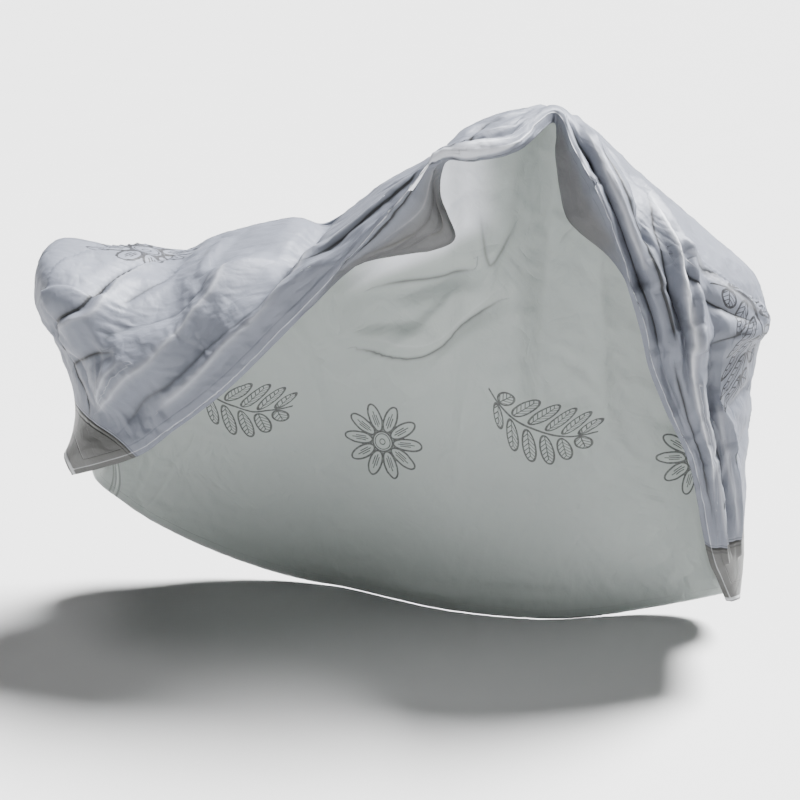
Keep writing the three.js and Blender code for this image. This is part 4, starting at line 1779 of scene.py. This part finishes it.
@dataclass
class Cover:
    """The whole cover: two side panels, joined along the ridge, and two corner gussets.

    Attributes:
        drape: The draped sheet.
        measured_rows: Rows across of the grid that sets the sheet in the frame.
        measured_stations: Its places along.
        above_floor: How far above the floor the sheet ends, in millimetres.
        shift: What moves the tables' own zero to the frame's, in millimetres.
    """

    drape: Drape = field(default_factory=Drape)
    measured_rows: Rows = Rows(62, 8, 26)
    measured_stations: int = 241
    above_floor: float = 1.0
    shift: Array = field(init=False)

    def __post_init__(self) -> None:
        """Sets the drape in the frame."""
        places = np.linspace(0.0, LAST_STATION, self.measured_stations)
        points = self.drape.folded(
            *np.meshgrid(places, self.measured_rows.shares(), indexing="ij")
        )
        low, high = points.min(axis=(0, 1)), points.max(axis=(0, 1))
        box = np.array(CAD_BOX) / MM
        self.shift = (box[0] + box[1]) / 2 - (low + high) / 2
        self.shift[2] = box[0][2] - low[2] + self.above_floor

    def weld(self, table: tuple, across: Array) -> Array:
        """Station of a welded gusset seam at each share across."""
        return course(table, across)[..., 0]

    def between_welds(self, along: Array, across: Array) -> Array:
        """Stations of a side panel, which lies between the two gussets."""
        low, high = self.weld(REAR_WELD, across), self.weld(FRONT_WELD, across)
        return low + (high - low) * along

    def behind_weld(self, along: Array, across: Array) -> Array:
        """Stations of the rear gusset."""
        return self.weld(REAR_WELD, across) * along

    def before_weld(self, along: Array, across: Array) -> Array:
        """Stations of the front gusset."""
        low = self.weld(FRONT_WELD, across)
        return low + (LAST_STATION - low) * along

    def pieces(self) -> list[FilmPiece]:
        """Lays out the cut pieces.

        Returns:
            The four pieces.
        """
        gusset = {
            "columns": 20, "rows": Rows(132, 14, 50), "slot": "gusset_film",
            "finishes": (SHADED_GUSSET_OUTSIDE, GUSSET_INSIDE),
        }
        side = {"columns": 240, "stations": self.between_welds, "slot": "outside_film"}
        return [
            FilmPiece(
                name="near_side_film", node="near_side_panel", rows=Rows(166, 16, 0),
                flat=(0.66, 2.31), flat_area=0.97, finishes=(NEAR_OUTSIDE, NEAR_INSIDE),
                slack=Slack(growth=0.012, frames=9, hold=0.15, bending=0.05), pulls=1.2, **side,
            ),
            FilmPiece(
                name="far_side_film", node="far_side_panel", rows=Rows(0, 0, 120),
                flat=(1.10, 1.62), flat_area=1.36, finishes=(FAR_OUTSIDE, LIT_FAR_INSIDE),
                slack=Slack(growth=0.005, frames=8, hold=0.12, bending=0.3), pulls=0.9, **side,
            ),
            FilmPiece(
                name="rear_gusset_film", node="rear_corner_gusset", stations=self.behind_weld,
                flat=(0.20, 0.75), flat_area=0.055, **gusset,
            ),
            FilmPiece(
                name="front_gusset_film", node="front_corner_gusset", stations=self.before_weld,
                flat=(0.17, 0.52), flat_area=0.044, **gusset,
            ),
        ]

    def build(self) -> None:
        """Makes every piece and reports it."""
        for piece in self.pieces():
            log.info("made %s", piece.build(self.drape, self.shift).name)


# Studio


@dataclass
class Studio:
    """Pale floor, soft light and the camera at the photograph's angle.

    Attributes:
        shift: What sets the sheet in the frame, in millimetres.
        eye: Where the camera stands, in the tables' millimetres.
        forward: Where it looks.
        lens: Its lens, in millimetres.
        floor_size: Width of the floor, in metres.
        floor_tones: Darkest and lightest tone of the floor.
        floor_noise: What varies them.
        floor_roughness: Roughness of the floor.
        sun_from: Direction that the key light comes from: behind, above and to the right.
        sun_power: Its power.
        sun_angle: How wide it is, in degrees.
        sky_power: Power of the sky.
        sky_ramp: Height, from the horizon up, and tone of the sky.
        top_place: Where the lamp stands, in metres.
        top_aim: What it faces.
        top_size: Its size, in metres.
        top_power: Its power, in watts.
    """

    shift: Array
    eye: tuple[float, float, float] = (290.0, -2766.0, 1552.0)
    forward: tuple[float, float, float] = (-0.0947, 0.9350, -0.3418)
    lens: float = 66.77
    floor_size: float = 120.0
    floor_tones: tuple[float, float] = (0.47, 0.49)
    floor_noise: Noise = Noise(2.0)
    floor_roughness: float = 0.8
    sun_from: tuple[float, float, float] = (0.42, 0.26, 0.87)
    sun_power: float = 27.0
    sun_angle: float = 26.0
    sky_power: float = 3.0
    sky_ramp: tuple[tuple[float, float], ...] = ((0.028, 1.0), (0.05, 0.012), (0.85, 0.06))
    top_place: tuple[float, float, float] = (-0.6, -0.9, 3.2)
    top_aim: tuple[float, float, float] = (0.0, 0.0, 0.6)
    top_size: float = 1.2
    top_power: float = 30.0

    def stand(self, data: bpy.types.ID, place: Vector, towards: Vector) -> bpy.types.Object:
        """Stands a light or a camera in the scene.

        Args:
            data: The light or camera.
            place: Where it stands.
            towards: Direction that it faces.

        Returns:
            The object.
        """
        made = bpy.data.objects.new(data.name, data)
        made.location = place
        made.rotation_euler = towards.to_track_quat("-Z", "Y").to_euler()
        bpy.context.scene.collection.objects.link(made)
        return made

    def camera(self) -> None:
        """The camera, at the photograph's viewing angle."""
        data = bpy.data.cameras.new("camera")
        data.lens = self.lens
        place = Vector((np.array(self.eye) + self.shift) * MM)
        bpy.context.scene.camera = self.stand(data, place, Vector(self.forward))

    def lights(self) -> None:
        """A soft key light from behind and to the right, and a large lamp over the front."""
        key = bpy.data.lights.new("key", "SUN")
        key.energy = self.sun_power
        key.angle = math.radians(self.sun_angle)
        self.stand(key, Vector(self.sun_from), -Vector(self.sun_from))
        top = bpy.data.lights.new("top", "AREA")
        top.shape = "DISK"
        top.size = self.top_size
        top.energy = self.top_power
        self.stand(top, Vector(self.top_place), Vector(self.top_aim) - Vector(self.top_place))

    def floor(self) -> None:
        """A plain pale floor."""
        mesh = bpy.data.meshes.new("floor")
        shape = bmesh.new()
        bmesh.ops.create_grid(shape, x_segments=1, y_segments=1, size=self.floor_size / 2)
        shape.to_mesh(mesh)
        shape.free()
        floor = bpy.data.objects.new("floor", mesh)
        bpy.context.scene.collection.objects.link(floor)
        shader = Shader(bpy.data.materials.new("floor"))
        varied = shader.noise(shader.place(), self.floor_noise)
        low, high = ((tone, tone, tone) for tone in self.floor_tones)
        mesh.materials.append(shader.finish({
            "Base Color": shader.mix(varied, low, high), "Roughness": self.floor_roughness,
        }))

    def sky(self) -> None:
        """A low sky that is brightest along the horizon, which meets the floor there."""
        world = bpy.data.worlds.new("studio")
        shader = Shader(world)
        way = shader.out(shader.node("ShaderNodeTexCoord"), "Generated")
        up = shader.out(shader.node("ShaderNodeSeparateXYZ", {}, {0: way}), "Z")
        tone = shader.out(shader.node("ShaderNodeValToRGB", {"stops": self.sky_ramp}, {0: up}))
        back = shader.node(
            "ShaderNodeBackground", {}, {"Color": tone, "Strength": self.sky_power}
        )
        shader.node("ShaderNodeOutputWorld", {}, {"Surface": shader.out(back)})
        bpy.context.scene.world = world

    def build(self) -> None:
        """Sets up the studio."""
        self.camera()
        self.floor()
        self.sky()
        self.lights()


def main() -> None:
    """Builds the studio and the cover."""
    cover = Cover()
    Studio(cover.shift).build()
    cover.build()


if __name__ == "__main__":
    main()
